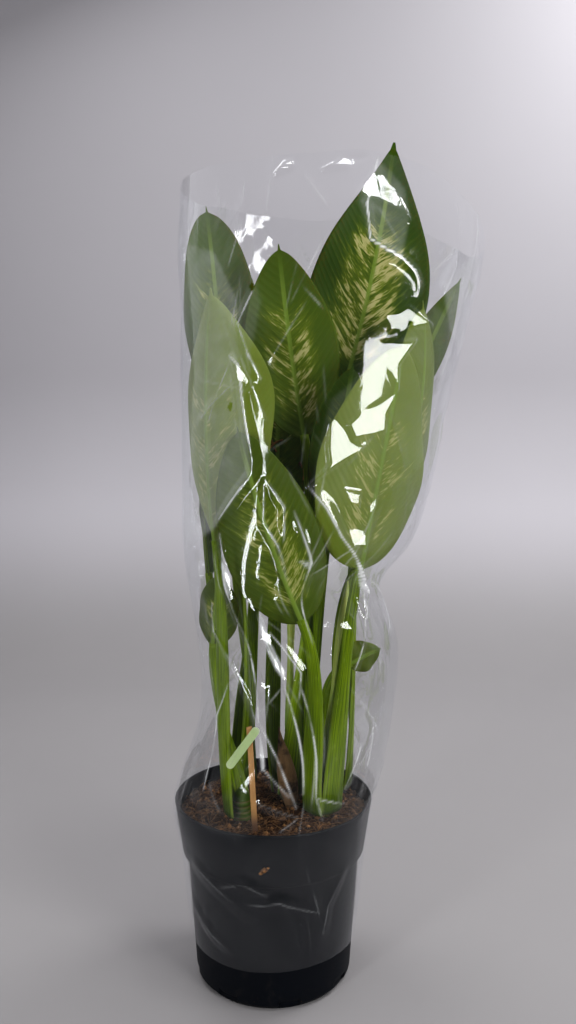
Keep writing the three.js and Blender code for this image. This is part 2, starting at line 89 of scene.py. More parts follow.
BLADE_THICK = 0.9
POINTED_OUTLINE = [
    (0, 0), (0.03, 0.34), (0.08, 0.6), (0.16, 0.82), (0.26, 0.96), (0.36, 1), (0.48, 0.94),
    (0.6, 0.79), (0.71, 0.58), (0.81, 0.36), (0.89, 0.19), (0.95, 0.08), (1, 0.02),
]
WIDEST, OVAL_END = 0.36, 0.965
RIB_DROP, RIB_TIP, RIB_END = 4.2, 0.3, 0.91
WAVES, WAVE_SHIFT = 2.2, 1.3
VEIN_LEAN, VEIN_CURVE = 0.75, 0.006  # how side veins run up and out to the margin
RIB_GROOVE = 0.22  # depth on top, as a share of the rib below
EDGE_CROWDING, END_CROWDING = 1.25, 0.35  # points closer together at the edges and ends of a blade


def grown(cane, way, root, base, tip, face, wide, cup, **own):
    """A leaf. feather: how strong the cream feathering is; tone: from dark (0) to pale (1)."""
    usual = dict(bow=0, sway=0, wave=3, full=0.4, blunt=0.6, feather=0.5, tone=0.4)
    return {**usual, "cane": cane, "way": way, "root": root, "base": base, "tip": tip, "face": face,
            "wide": wide, "cup": cup, **own}


LEAVES = {  # cane, way off it, height there, base and tip of the blade, way it faces, width, cup
    "tall_back": grown("back", -60, 214, (90, 50, 720), (149, 38, 1016), -94, 152, 14, bow=-4, sway=6,
                       full=0.36, blunt=0.1, feather=1.0, tone=0.08),
    "middle": grown("middle", -80, 216, (38, -12, 650), (7, -30, 874), -90, 114, 14, bow=-10, sway=-2,
                    full=0.44, blunt=0.5, feather=0.86, tone=0.75),
    "left_back": grown("back_left", -50, 214, (-62, 44, 676), (-82, 22, 934), -60, 108, 34, bow=6,
                       full=0.46, blunt=0.8, feather=0.72, tone=0.5),
    "left_front": grown("front_left", 200, 210, (-64, -57, 528), (-70, -51, 819), 50, 166, 62, bow=-11,
                        full=0.52, blunt=0.3, feather=0.75, tone=0.6),
    "front_low": grown("front_right", -140, 208, (34, -100, 445), (-38, -88, 661), 86, 116, 22, bow=-4,
                       sway=5, full=0.36, feather=0.88, tone=0.35),
    "front_right": grown("front_right", -50, 210, (98, -70, 500), (150, -64, 758), 118, 148, 26, bow=-10,
                         sway=6, full=0.33, feather=0.85, tone=0.55),
    "right": grown("front_right", 35, 212, (102, -22, 502), (178, -8, 814), 140, 114, 30, bow=-22,
                   sway=-18, full=0.5, blunt=0.7, feather=0.9, tone=0.5),
    "far_right": grown("back_right", -20, 210, (126, 70, 604), (234, 42, 852), 240, 56, 30, bow=4,
                       wave=2, full=0.6, blunt=0.2, feather=0.1, tone=0.8),
    "small_left": grown("front_left", 110, 208, (-72, -12, 400), (-66, -22, 488), 70, 58, 40, wave=2,
                        blunt=0.8, feather=0.8, tone=0.2),
    "low_right": grown("back_right", -120, 208, (91, -1, 376), (132, 4, 394), 110, 42, 20, wave=2,
                       blunt=0.4, feather=0.1, tone=0.45),
    "back_tall": grown("back", 80, 210, (72, 96, 590), (94, 104, 862), -88, 112, 24, bow=-8, feather=0.8),
    "back_left": grown("back_left", 84, 210, (-26, 86, 500), (-32, 88, 755), -80, 98, 26, bow=-6,
                       feather=0.7),
    "left_side": grown("back_left", 175, 208, (-80, 26, 480), (-88, 32, 668), -10, 84, 26, bow=-4,
                       feather=0.6),
    "inner": grown("middle", 165, 216, (4, 44, 545), (6, 60, 775), -90, 88, 16, bow=8, feather=0.6,
                   tone=0.1),
    "inner_right": grown("middle", 10, 214, (66, -37, 560), (93, -41, 735), -100, 70, 16, bow=4,
                         feather=0.6, tone=0.2),
}

ROLLED = {  # cane, tip and radius
    "right": ("front_right", (88, -40, 484), 5.6),
    "middle": ("middle", (24, 8, 540), 5.2),
}
ROLLED_SHAPE = [(0, 0.5), (0.06, 0.85), (0.5, 0.8), (0.72, 1.15), (0.86, 0.95), (0.95, 0.5), (1, 0.15)]


def withered(base, tip, wide, bow, sway=0):
    return grown("", 0, 0, base, tip, 82, wide, 80, bow=bow, sway=sway, wave=0, full=0.36, blunt=0)


PAPERY_ROWS, PAPERY_COLUMNS = 46, 25
DRY_SHEATH = withered((22, -17, 195.5), (7, -33, 308), 34, -3)
DRIED_SCRAPS = [  # scraps that cling to the inner leaf
    withered((-6, 41, 640), (11, 40, 651), 7, 2, 2),
    withered((-3, 41, 652), (4, 40, 636), 5, 2, -2),
    withered((31, 38, 624), (37, 38, 600), 6, 2, 3),
]

STAKE = {"wide": 6.5, "thick": 4, "top": (-26, -75, 323), "soil": (-20, -80, 213), "bottom": 150,
         "splinters": 2.2, "wobble": 0.012}
STAKE_SECTION = [
    (-1, -0.8), (-0.85, -1), (0.85, -1), (1, -0.8), (1, 0.8), (0.8, 1), (0.1, 0.92), (-0.8, 1), (-1, 0.8),
]
TAG = {"high": (-16, 322), "low": (-50, 276), "width": 9.5, "meets": 297, "curl": 0.9, "gap": 0.35}
TAG_RINGS = [  # size, depth, and 1 on the cut edge
    (0.001, 0, 0), (0.55, 0, 0), (0.9, 0, 0), (1, 0.12, 1), (1, 0.68, 1), (0.9, 0.8, 0), (0.55, 0.8, 0),
    (0.001, 0.8, 0),
]
STREWN_WITHIN, FIBRES_WITHIN, CANE_CLEAR = 110, 112, 13
FIBRES = {"length": (9, 30), "radius": (0.16, 0.42), "bend": (-1.6, 1.6), "rise": (0, 4.5)}
CRUMB_SIZES = (1.2, 4.2)
STUCK_CRUMBS = [((-8, -114.4, 174), 4.6), ((-4, -114.8, 177), 3), ((-12, -114.2, 170.5), 3)]

SLEEVE_RINGS = [  # height, middle x and y, half width, half depth
    (50, 0, 0, 101, 101), (100, 0, 0, 107, 107), (149, 0, 0, 112.4, 112.4), (215, 0, 0, 121.9, 121.9),
    (258, 12, 1, 119, 121), (300, 24, 2, 117, 121), (420, 27, 2, 119, 123), (480, 14, 0, 114, 125),
    (525, 28, 2, 135, 131), (600, 40, 2, 149, 135), (680, 48, 3, 156, 139), (740, 56, 4, 164, 141),
    (810, 64, 4, 173, 136), (880, 70, 4, 180, 132), (950, 72, 4, 179, 112),
]
SLEEVE_FOOT, SLEEVE_MOUTH, SLEEVE_NECK = 50, 950, 480
RIGHT_DROP = 76  # how much lower the mouth is on the right
FRONT_TURN = 1.9  # how far round the photographed side reaches, in radians
SMALL_FOLDS = {"level": (70, 940), "length": (25, 110), "spread": (5, 15), "height": (0.5, 2.8)}
CREST_HALF, CREST_SHARP = 1.6, 0.3  # half width of the white crest (partly stress whitening, partly painted highlight), and of its core
POT_HUG = 0.6  # share of a fold's height that is left where the film hugs the pot
DEEPEST_DENT = -0.6

# -------------------- the camera of the photograph

CAMERA_AT = np.array((18.0, -970.0, 613.0))
CAMERA_DOWN = math.radians(3)
PICTURE = (576, 1024)
FOCAL_PIXELS = 800
SLEEVE_AHEAD = (700, 1150)  # how far ahead of the camera the sleeve stands
SENSOR_WIDTH = 36

# Folds and flat places of the film, as pixels of the photograph, on the front of the sleeve.
FILM_FOLDS = {  # height of the fold, half width of its flanks, points
    "left_high": (4.5, 9, [(253, 292), (240, 324), (250, 355), (262, 380)]),
    "left_long": (5, 10, [(231, 356), (240, 365), (247, 420), (254, 461), (253, 474), (217, 525)]),
    "diamond_left": (3.5, 7, [(265, 477), (264, 522), (278, 545), (287, 581)]),
    "diamond_right": (3.5, 7, [(265, 477), (285, 507), (284, 541)]),
    "diamond_low": (4, 8, [(294, 511), (311, 563), (312, 643)]),
    "right_long": (5, 9, [(308, 486), (326, 508), (340, 536), (357, 565), (362, 580), (364, 618)]),
    "left_run": (4.5, 8, [(221, 534), (225, 568), (232, 599), (251, 647), (260, 721), (296, 808)]),
    "left_small": (3, 6, [(214, 602), (216, 631), (237, 670)]),
    "left_slant": (3, 7, [(222, 645), (250, 700), (262, 735)]),
    "streak_left": (4, 6, [(258, 616), (270, 650), (285, 679)]),
    "streak_right": (4, 7, [(270, 632), (301, 672), (299, 699)]),
    "left_low": (3.5, 7, [(230, 683), (220, 714), (205, 789)]),
    "stake_low": (3.5, 7, [(261, 733), (264, 768), (290, 797)]),
    "middle_low": (4, 7, [(284, 684), (303, 794)]),
    "middle_right": (4, 7, [(299, 681), (315, 784), (315, 798)]),
    "star_right": (3, 6, [(315, 798), (343, 803)]),
    "star_low": (3, 6, [(315, 798), (322, 820)]),
    "neck": (4.5, 8, [(354, 560), (361, 585), (364, 592), (362, 620), (354, 669)]),
    "neck_right": (3.5, 7, [(368, 580), (380, 596), (384, 644)]),
    "low_right": (3, 6, [(371, 726), (359, 792)]),
    "low_right_small": (3, 6, [(360, 744), (343, 789)]),
    "soil_upper": (3, 6, [(257, 802), (298, 817)]),
    "soil_lower": (3, 6, [(298, 817), (280, 831)]),
    "tall_edge": (5, 8, [(378, 158), (366, 205), (369, 240), (383, 249), (400, 258), (414, 272),
                         (419, 285), (417, 297)]),
    "pot_upper": (4, 12, [(193, 860), (220, 890), (259, 921)]),
    "pot_lens": (4.5, 11, [(221, 887), (243, 884), (268, 896)]),
    "pot_lens_low": (4.5, 12, [(246, 905), (280, 903), (318, 912)]),
    "pot_left": (4, 9, [(192, 895), (213, 934), (230, 950)]),
    "pot_right": (3.5, 9, [(345, 866), (327, 905), (322, 935)]),
    "pot_right_high": (3, 9, [(306, 872), (319, 916)]),
}
FILM_PANELS = {  # direction that the flat place faces (degrees to the right, degrees up), corners
    "tall_leaf": ((10, 23), [(378, 158), (408, 221), (392, 211), (371, 199), (357, 195)]),
    "vent": ((17, -3), [(387, 318), (408, 306), (430, 326), (390, 331)]),
    "shoulder": ((17, -1), [(371, 343), (415, 340), (398, 365), (396, 391), (386, 369)]),
    "right_top": ((19, 2), [(396, 392), (386, 407), (384, 432), (352, 440), (346, 424), (364, 411)]),
    "right_middle": ((18, 3), [(346, 424), (352, 440), (360, 450), (343, 462), (324, 474), (308, 487),
                               (329, 464), (327, 447), (330, 418)]),
    "right_low": ((17, 4), [(343, 489), (360, 493), (358, 508), (347, 505)]),
    "right_foot": ((17, 5), [(345, 524), (364, 528), (364, 550), (354, 545)]),
    "mouth_right": ((12, 22), [(322, 170), (345, 157), (366, 157), (350, 168)]),
    "mouth_left": ((13, 22), [(275, 175), (285, 162), (308, 157), (300, 165)]),
    "left_glint": ((-18, 3), [(236, 597), (224, 566), (233, 575)]),
    "streak_upper": ((-19, 3), [(258, 614), (266, 628), (275, 640), (272, 652), (262, 640)]),
    "streak_lower": ((-19, 4), [(266, 644), (276, 655), (286, 682), (276, 668)]),
    "stake_side": ((-18, 5), [(259, 730), (264, 752), (264, 770), (260, 768)]),
    "right_run": ((-22, 4), [(357, 572), (365, 590), (363, 618), (357, 604)]),
    "left_edge": ((-18, 0), [(232, 356), (243, 365), (252, 380), (246, 392), (238, 380)]),
}
FILM_FOG = {  # how milky the film is there, corners
    "left": (0.19, [(183, 240), (215, 250), (240, 300), (238, 330), (248, 420), (254, 474), (215, 530),
                    (186, 560)]),
    "left_top": (0.06, [(183, 200), (235, 205), (262, 300), (240, 420), (186, 420)]),
    "far_right": (0.13, [(440, 285), (478, 245), (474, 300), (456, 362), (446, 330)]),
    "right_leaf": (0.06, [(400, 340), (428, 300), (448, 320), (444, 420), (395, 545), (385, 480)]),
    "front_right": (0.045, [(330, 400), (400, 340), (440, 330), (430, 440), (390, 545), (350, 560),
                            (310, 490)]),
    "tall_leaf": (0.13, [(378, 158), (357, 195), (368, 238), (384, 253), (400, 265), (408, 220),
                         (404, 190)]),
    "pot_middle": (0.006, [(262, 836), (318, 832), (356, 850), (350, 925), (318, 955), (312, 900),
                           (268, 884), (240, 872)]),
    "pot_low": (0.005, [(196, 860), (222, 892), (262, 925), (300, 968), (240, 962), (198, 925)]),
    "pot_left": (0.02, [(196, 800), (235, 790), (262, 826), (240, 840), (200, 828)]),
}
FILM_PAINTED_GLINTS = {  # painted highlights, white patches where glints stand: how milky, corners
    "streak": (0.5, [(260, 612), (265, 620), (269, 636), (276, 652), (286, 671), (285, 680), (276, 669),
                     (268, 652), (261, 633)]),
    "stake_side": (0.4, [(260, 731), (264, 745), (266, 767), (262, 771), (260, 755)]),
    "left_glint": (0.45, [(223, 560), (229, 568), (233, 580), (233, 597), (229, 592), (226, 577)]),
    "neck": (0.5, [(354, 560), (360, 569), (364, 580), (365, 593), (361, 593), (358, 578)]),
    "middle_star": (0.35, [(297, 560), (311, 562), (309, 569), (303, 565)]),
}
FILM_VENTS = [(409, 324), (253, 286), (232, 407)]
VENT_RADIUS, VENT_RIM = 2.6, 1.2

SOFTBOXES = {  # place, what it is aimed at, width and height, in metres, and colour
    "key": ((1.15, -1.3, 0.78), (0.09, -0.12, 0.66), (0.6, 0.55), (1, 0.99, 0.97)),
    "top": ((0.75, -0.62, 2.6), (0.09, -0.12, 0.85), (0.46, 0.42), (1, 1, 0.99)),
    "strip": ((-0.95, -1.25, 0.52), (-0.02, -0.1, 0.5), (0.2, 0.84), (0.99, 1, 1)),
    "wall": ((2.1, 1.0, 3.1), (1.5, 2.3, 0.7), (1.2, 1.2), (1, 1, 1)),
    "back": ((-0.9, 1.0, 3.0), (0.05, 0, 0.6), (1.2, 1.2), (1, 1, 1)),
}


# -------------------- geometry in plain arrays

def unit(vector):
    vector = np.asarray(vector, float)
    return vector / np.linalg.norm(vector, axis=-1, keepdims=True)


def heading(degrees):
    turn = np.radians(degrees)
    return np.stack([np.cos(turn), np.sin(turn), np.zeros_like(turn)], axis=-1)


def square_to(axis, direction):
    """The part of a direction that is square to an axis, at unit length."""
    return unit(direction - (direction * axis).sum(-1, keepdims=True) * axis)


def soft_step(low, high, value):
    share = np.clip((value - low) / (high - low), 0, 1)
    return share * share * (3 - 2 * share)


def curve(q, start, out, end, into):
    """A cubic from start to end that leaves and arrives with the given slopes."""
    return ((2 * q**3 - 3 * q**2 + 1) * start + (q**3 - 2 * q**2 + q) * out
            + (3 * q**2 - 2 * q**3) * end + (q**3 - q**2) * into)


def smooth_through(table, column, at):
    """A smooth curve through the points (first column, column) of a table."""
    x, y = np.asarray(table, float)[:, [0, column]].T
    slope = np.gradient(y, x)
    k = np.clip(np.searchsorted(x, at) - 1, 0, len(x) - 2)
    gap = x[k + 1] - x[k]
    q = np.clip((at - x[k]) / gap, 0, 1)
    return curve(q, y[k], gap * slope[k], y[k + 1], gap * slope[k + 1])


def straight_through(table, column, at):
    x, y = np.asarray(table, float)[:, [0, column]].T
    return np.interp(at, x, y)


def circle(count):
    return np.linspace(0, 2 * math.pi, count, endpoint=False)[None, :]


def grid_faces(rows, columns, around=False):
    """Four-sided faces over a lattice of points that is stored row by row."""
    k, i = np.meshgrid(np.arange(rows - 1), np.arange(columns if around else columns - 1), indexing="ij")
    a = k * columns + i
    b = k * columns + (i + 1) % columns
    return np.stack([a, b, b + columns, a + columns], axis=-1).reshape(-1, 4)


def bar_faces(rows, columns):
    """Faces of a closed bar whose ends are filled by one face each."""
    ends = [list(range(columns))[::-1], [(rows - 1) * columns + k for k in range(columns)]]
    return grid_faces(rows, columns, around=True).tolist() + ends


def thin_skin(upper, lower):
    """Closed skin over an upper and a lower lattice of points that share their outline."""
    rows, columns = upper.shape[:2]
    count = rows * columns
    sides = grid_faces(rows, columns)
    faces = sides.tolist() + (sides + count)[:, ::-1].tolist()
    rim = ([(0, i) for i in range(columns)] + [(k, columns - 1) for k in range(1, rows)]
           + [(rows - 1, i) for i in range(columns - 2, -1, -1)] + [(k, 0) for k in range(rows - 2, 0, -1)])
    spots = [k * columns + i for k, i in rim]
    faces += [[b, a, count + a, count + b] for a, b in zip(spots, spots[1:] + spots[:1])]
    return np.concatenate([upper.reshape(-1, 3), lower.reshape(-1, 3)]), faces


def sweep(middles, sides, normals, across, up):
    """Points of a bar: across and up give the section of each ring, as rings by points."""
    return (middles[:, None, :] + across[..., None] * sides[:, None, :]
            + up[..., None] * normals[:, None, :])


def upright(foot, tip, q, reach, turn):
    """Points of a bar from foot to tip whose rings lie level."""
    foot, tip = np.array(foot, float), np.array(tip, float)
    ring = np.stack([reach * np.cos(turn), reach * np.sin(turn), np.zeros(np.broadcast(reach, turn).shape)],
                    axis=-1)
    return (foot + q[:, None] * (tip - foot))[:, None, :] + ring


def add_mesh(name, points, faces, finish):
    mesh = bpy.data.meshes.new(name)
    mesh.from_pydata(points.tolist(), [], [tuple(face) for face in faces])
    mesh.update()
    mesh.polygons.foreach_set("use_smooth", np.ones(len(mesh.polygons), bool))
    mesh.materials.append(finish)
    piece = bpy.data.objects.new(name, mesh)
    bpy.context.scene.collection.objects.link(piece)
    if not len(mesh.vertices):
        raise RuntimeError(f"{name} has no points")
    return piece


def make_piece(name, points, faces, finish, replaced, values=(), sharp=None):
    """A piece from points in millimetres, with a number for each point under each name in values."""
    piece = add_mesh(name, np.asarray(points).reshape(-1, 3) * MM, faces, finish)
    for key, numbers in dict(values).items():
        layer = piece.data.attributes.new(key, "FLOAT", "POINT")
        layer.data.foreach_set("value", np.asarray(numbers, np.float32).ravel())
    if sharp is not None:
        piece.data.set_sharp_from_angle(angle=math.radians(sharp))
    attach(piece, "root")
    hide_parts(*replaced)
    return piece


class Heap:
    """Many small bits that make one piece."""

    def __init__(self):
        self.points, self.faces, self.values = [], [], {}

    def add(self, points, faces, **values):
        first = len(self.points)
        self.points += points.reshape(-1, 3).tolist()
        self.faces += [[first + corner for corner in face] for face in faces]
        for key, numbers in values.items():
            self.values.setdefault(key, []).extend(np.broadcast_to(numbers, len(self.points) - first))

    def piece(self, name, finish, slot, replaced):
        return make_piece(name, self.points, self.faces, finish, replaced, self.values)


# -------------------- finishes

class Nodes:
    """The nodes of a material or of the world, added by plain calls."""

    def __init__(self, owner):
        self.owner = owner
        owner.use_nodes = True
        self.tree = owner.node_tree

    def link(self, value, socket):
        if isinstance(value, bpy.types.NodeSocket):
            self.tree.links.new(value, socket)
        elif socket.type == "RGBA":
            socket.default_value = (*value[:3], 1)
        else:
            socket.default_value = value

    def node(self, kind, inputs, **settings):
        node = self.tree.nodes.new(kind)
        for key, value in settings.items():
            setattr(node, key, value)
        for key, value in inputs.items():
            self.link(value, node.inputs[key])
        return node


class Finish(Nodes):
    """A material that ends in one shader."""

    def __init__(self, name):
        super().__init__(bpy.data.materials.new(name))
        self.shader = self.tree.nodes["Principled BSDF"]

    def number(self, name):
        return self.node("ShaderNodeAttribute", {}, attribute_name=name).outputs["Fac"]

    def maths(self, operation, *values):
        return self.node("ShaderNodeMath", dict(enumerate(values)), operation=operation).outputs[0]

    def times(self, first, second):
        return self.maths("MULTIPLY", first, second)

    def scaled(self, value, by, plus):
        return self.maths("MULTIPLY_ADD", value, by, plus)

    def rest(self, share):
        return self.maths("SUBTRACT", 1.0, share)

    def step(self, value, low, high):
        return self.node("ShaderNodeMapRange", {"Value": value, "From Min": low, "From Max": high},
                         interpolation_type="SMOOTHSTEP").outputs["Result"]

    def place(self, stretch=(1, 1, 1)):
        """The point's own place in metres, stretched."""
        spot = self.node("ShaderNodeTexCoord", {}).outputs["Object"]
        return self.node("ShaderNodeMapping", {"Vector": spot, "Scale": stretch}).outputs[0]

    def noise(self, vector, scale, detail, roughness, distortion=0.0):
        return self.node("ShaderNodeTexNoise", {
            "Vector": vector, "Scale": scale, "Detail": detail, "Roughness": roughness,
            "Distortion": distortion}).outputs["Fac"]

    def cloud(self, scale, detail, roughness, stretch=(1, 1, 1), distortion=0.0):
        """Noise by the point's own place."""
        return self.noise(self.place(stretch), scale, detail, roughness, distortion)

    def streaks(self, first, second, seed, detail, roughness, distortion=0.0):
        """Noise over two of the point's numbers, each a pair of a number and its scale."""
        spot = self.node("ShaderNodeCombineXYZ", {
            "X": self.times(*first), "Y": self.times(*second), "Z": seed}).outputs[0]
        return self.noise(spot, 1.0, detail, roughness, distortion)

    def cells(self, scale, stretch=(1, 1, 1), feature="F1"):
        return self.node("ShaderNodeTexVoronoi", {"Vector": self.place(stretch), "Scale": scale},
                         feature=feature).outputs["Distance"]

    def blend(self, share, first, second):
        return self.node("ShaderNodeMix", {0: share, 6: first, 7: second}, data_type="RGBA").outputs[2]

    def relief(self, height, strength, distance, under=None):
        inputs = {"Height": height, "Strength": strength, "Distance": distance}
        if under is not None:
            inputs["Normal"] = under
        return self.node("ShaderNodeBump", inputs).outputs["Normal"]

    def finish(self, colour, roughness, relief, **constants):
        sockets = {"Base Color": colour, "Roughness": roughness, "Normal": relief}
        sockets.update((key.replace("_", " "), value) for key, value in constants.items())
        for key, value in sockets.items():
            self.link(value, self.shader.inputs[key])
        return self.owner


def leaf_finish(looks):
    f = Finish("leaf blade")
    vein, aside, tone, upper = f.number("vein"), f.number("aside"), f.number("tone"), f.number("upper")
    away = f.maths("ABSOLUTE", aside)
    seed = f.maths("ADD", f.times(f.number("number"), 7.31), f.times(f.maths("SIGN", aside), 3.7))
    streaks = f.streaks((vein, 0.094), (away, 0.028), seed, 5.0, 0.72, 0.9)
    grain = f.streaks((vein, 0.6), (away, 0.12), seed, 2.0, 0.6)
    patches = f.streaks((vein, 0.028), (away, 0.035), seed, 2.0, 0.5)
    ribs = f.maths("COSINE", f.times(vein, 2 * math.pi / looks.vein_spacing))
    pattern = f.scaled(ribs, 0.012, f.scaled(patches, 0.2, f.scaled(grain, 0.3, f.times(streaks, 0.5))))
    lifted = f.scaled(f.number("feather"), 0.2, pattern)
    broad = f.cloud(18.0, 3.0, 0.6)
    green = f.blend(f.times(broad, 0.55), f.blend(tone, looks.deep_green, looks.mid_green),
                    looks.mid_green)
    under = f.blend(f.step(tone, 0.3, 0.6), looks.under_deep, looks.under_green)
    bare = f.blend(upper, f.blend(f.times(broad, 0.4), under, looks.mid_green), green)
    paler = f.scaled(upper, 0.4, 0.6)
    colour = f.blend(f.times(f.step(lifted, 0.56, 0.72), 0.42), bare, looks.lime)
    colour = f.blend(f.times(f.step(lifted, 0.675, 0.71), paler), colour, looks.lime)
    colour = f.blend(f.times(f.step(lifted, 0.705, 0.74), paler), colour, looks.cream)
    colour = f.blend(f.times(f.step(ribs, 0.9, 1.0), 0.1), colour, looks.rib_green)
    rib = f.times(f.rest(f.step(away, 1.6, 3.4)), f.rest(f.step(f.number("share"), 0.72, 1.0)))
    colour = f.blend(f.times(rib, 0.85), colour, looks.rib_green)
    waxy = f.relief(f.cloud(900.0, 2.0, 0.5), 0.12, 0.0004)
    return f.finish(colour, f.scaled(grain, 0.16, 0.38), f.relief(ribs, 0.12, 0.0006, waxy),
                    Subsurface_Weight=0.06, Subsurface_Scale=0.004, Specular_IOR_Level=0.13)


def petiole_finish(looks):
    f = Finish("petiole")
    run, turn, number = f.number("run"), f.number("turn"), f.number("number")
    fibres = f.streaks((turn, 26.0), (run, 3.0), number, 4.0, 0.6)
    blotch = f.streaks((turn, 3.0), (run, 9.0), number, 3.0, 0.6)
    colour = f.blend(f.step(fibres, 0.36, 0.68), looks.stem_deep, looks.stem_bright)
    colour = f.blend(f.times(f.step(blotch, 0.56, 0.72), 0.4), colour, looks.stem_pale)
    colour = f.blend(f.times(f.rest(f.step(run, 0.0, 0.16)), 0.75), colour, looks.stem_foot)
    margin = f.times(f.number("margin"), f.rest(f.step(run, 0.35, 0.6)))
    colour = f.blend(f.times(margin, 0.55), colour, looks.stem_pale)
    return f.finish(colour, f.scaled(blotch, 0.2, 0.28), f.relief(fibres, 0.35, 0.0006),
                    Subsurface_Weight=0.05, Subsurface_Scale=0.003, Specular_IOR_Level=0.15)


def cane_finish(looks):
    f = Finish("cane")
    broad = f.cloud(60.0, 4.0, 0.6)
    colour = f.blend(f.number("scar"), f.blend(broad, looks.stem_foot, looks.stem_deep), looks.scar)
    relief = f.relief(f.cloud(500.0, 3.0, 0.6, (1, 1, 0.3)), 0.4, 0.001)
    return f.finish(colour, f.scaled(broad, 0.25, 0.35), relief, Specular_IOR_Level=0.15)


def young_leaf_finish(looks):
    f = Finish("young leaf")
    run = f.number("run")
    fibres = f.streaks((f.number("turn"), 18.0), (run, 4.0), 2.0, 3.0, 0.6)
    pale = f.blend(fibres, looks.young_deep, looks.young_pale)
    colour = f.blend(f.step(run, 0.0, 0.55), looks.young_foot, pale)
    return f.finish(colour, 0.36, f.relief(fibres, 0.3, 0.0006), Subsurface_Weight=0.08,
                    Subsurface_Scale=0.003)


def dry_finish(name, dark, pale):
    f = Finish(name)
    fibres = f.streaks((f.number("vein"), 0.05), (f.number("aside"), 1.1), 0.0, 5.0, 0.65)
    stain = f.step(f.cloud(70.0, 4.0, 0.6), 0.45, 0.65)
    colour = f.blend(stain, f.blend(fibres, dark, pale), [c * 0.55 for c in dark[:3]])
    return f.finish(colour, f.scaled(fibres, 0.3, 0.5), f.relief(fibres, 0.8, 0.001))


def pot_finish(looks):
    f = Finish("pot plastic")
    base = f.blend(f.cloud(9.0, 4.0, 0.6), looks.pot_dark, looks.pot_light)
    low = f.step(f.number("height"), 60.0, 0.0)
    dust = f.step(f.cloud(70.0, 6.0, 0.7, (1, 1, 0.6)), 0.52, 0.74)
    dusty = f.times(dust, f.scaled(low, 0.16, 0.05))
    specks = f.step(f.cells(260.0), 0.1, 0.05)
    sparse = f.times(f.step(f.cloud(60.0, 2.0, 0.55), 0.6, 0.68), 0.7)
    colour = f.blend(f.times(specks, sparse), f.blend(dusty, base, looks.pot_dust), looks.pot_specks)
    scuffs = f.cloud(90.0, 4.0, 0.6, (1, 1, 14))
    grain = f.relief(f.cloud(1500.0, 2.0, 0.5), 0.18, 0.0004)
    return f.finish(colour, f.scaled(scuffs, 0.25, f.scaled(dusty, 0.5, 0.38)),
                    f.relief(scuffs, 0.08, 0.0006, grain), Specular_IOR_Level=0.14)


def coir_finish(looks):
    f = Finish("coir")
    clumps = f.cloud(70.0, 6.0, 0.7, distortion=0.4)
    crumbs = f.cells(320.0)
    dark = f.blend(f.step(clumps, 0.35, 0.65), looks.coir_dark, looks.coir_red)
    dry = f.times(f.step(crumbs, 0.5, 0.05), f.step(clumps, 0.5, 0.7))
    rough = f.relief(f.cloud(600.0, 4.0, 0.7), 0.9, 0.002)
    return f.finish(f.blend(dry, dark, looks.coir_light), f.scaled(clumps, 0.3, 0.6),
                    f.relief(crumbs, 0.7, 0.002, rough), Specular_IOR_Level=0.15)


def fibre_finish(looks):
    f = Finish("coir fibres")
    streak = f.cloud(400.0, 3.0, 0.6, (3, 3, 3))
    tint = f.blend(f.number("number"), looks.coir_red, looks.fibre)
    return f.finish(f.blend(f.times(streak, 0.5), tint, looks.coir_dark), f.scaled(streak, 0.3, 0.5),
                    f.relief(streak, 0.4, 0.0004))


def stake_finish(looks):
    f = Finish("stake wood")
    grain = f.cloud(260.0, 5.0, 0.65, (5, 5, 0.35), 0.2)
    bands = f.cloud(60.0, 3.0, 0.5, (3, 3, 0.2))
    wood = f.blend(grain, looks.wood_deep, looks.wood_pale)
    wood = f.blend(f.times(f.step(bands, 0.5, 0.72), 0.5), wood, looks.wood_bands)
    damp = f.blend(f.step(f.number("height"), 232.0, 208.0), wood, looks.wood_damp)
    return f.finish(damp, f.scaled(grain, 0.25, 0.5), f.relief(grain, 0.7, 0.0008))


def tag_finish(looks):
    f = Finish("label card")
    fibre = f.cloud(1800.0, 3.0, 0.6)
    card = f.blend(f.cloud(60.0, 3.0, 0.5), looks.card_deep, looks.card_pale)
    return f.finish(f.blend(f.times(f.number("edge"), 0.6), card, looks.card_edge),
                    f.scaled(fibre, 0.2, 0.25), f.relief(fibre, 0.15, 0.0003))


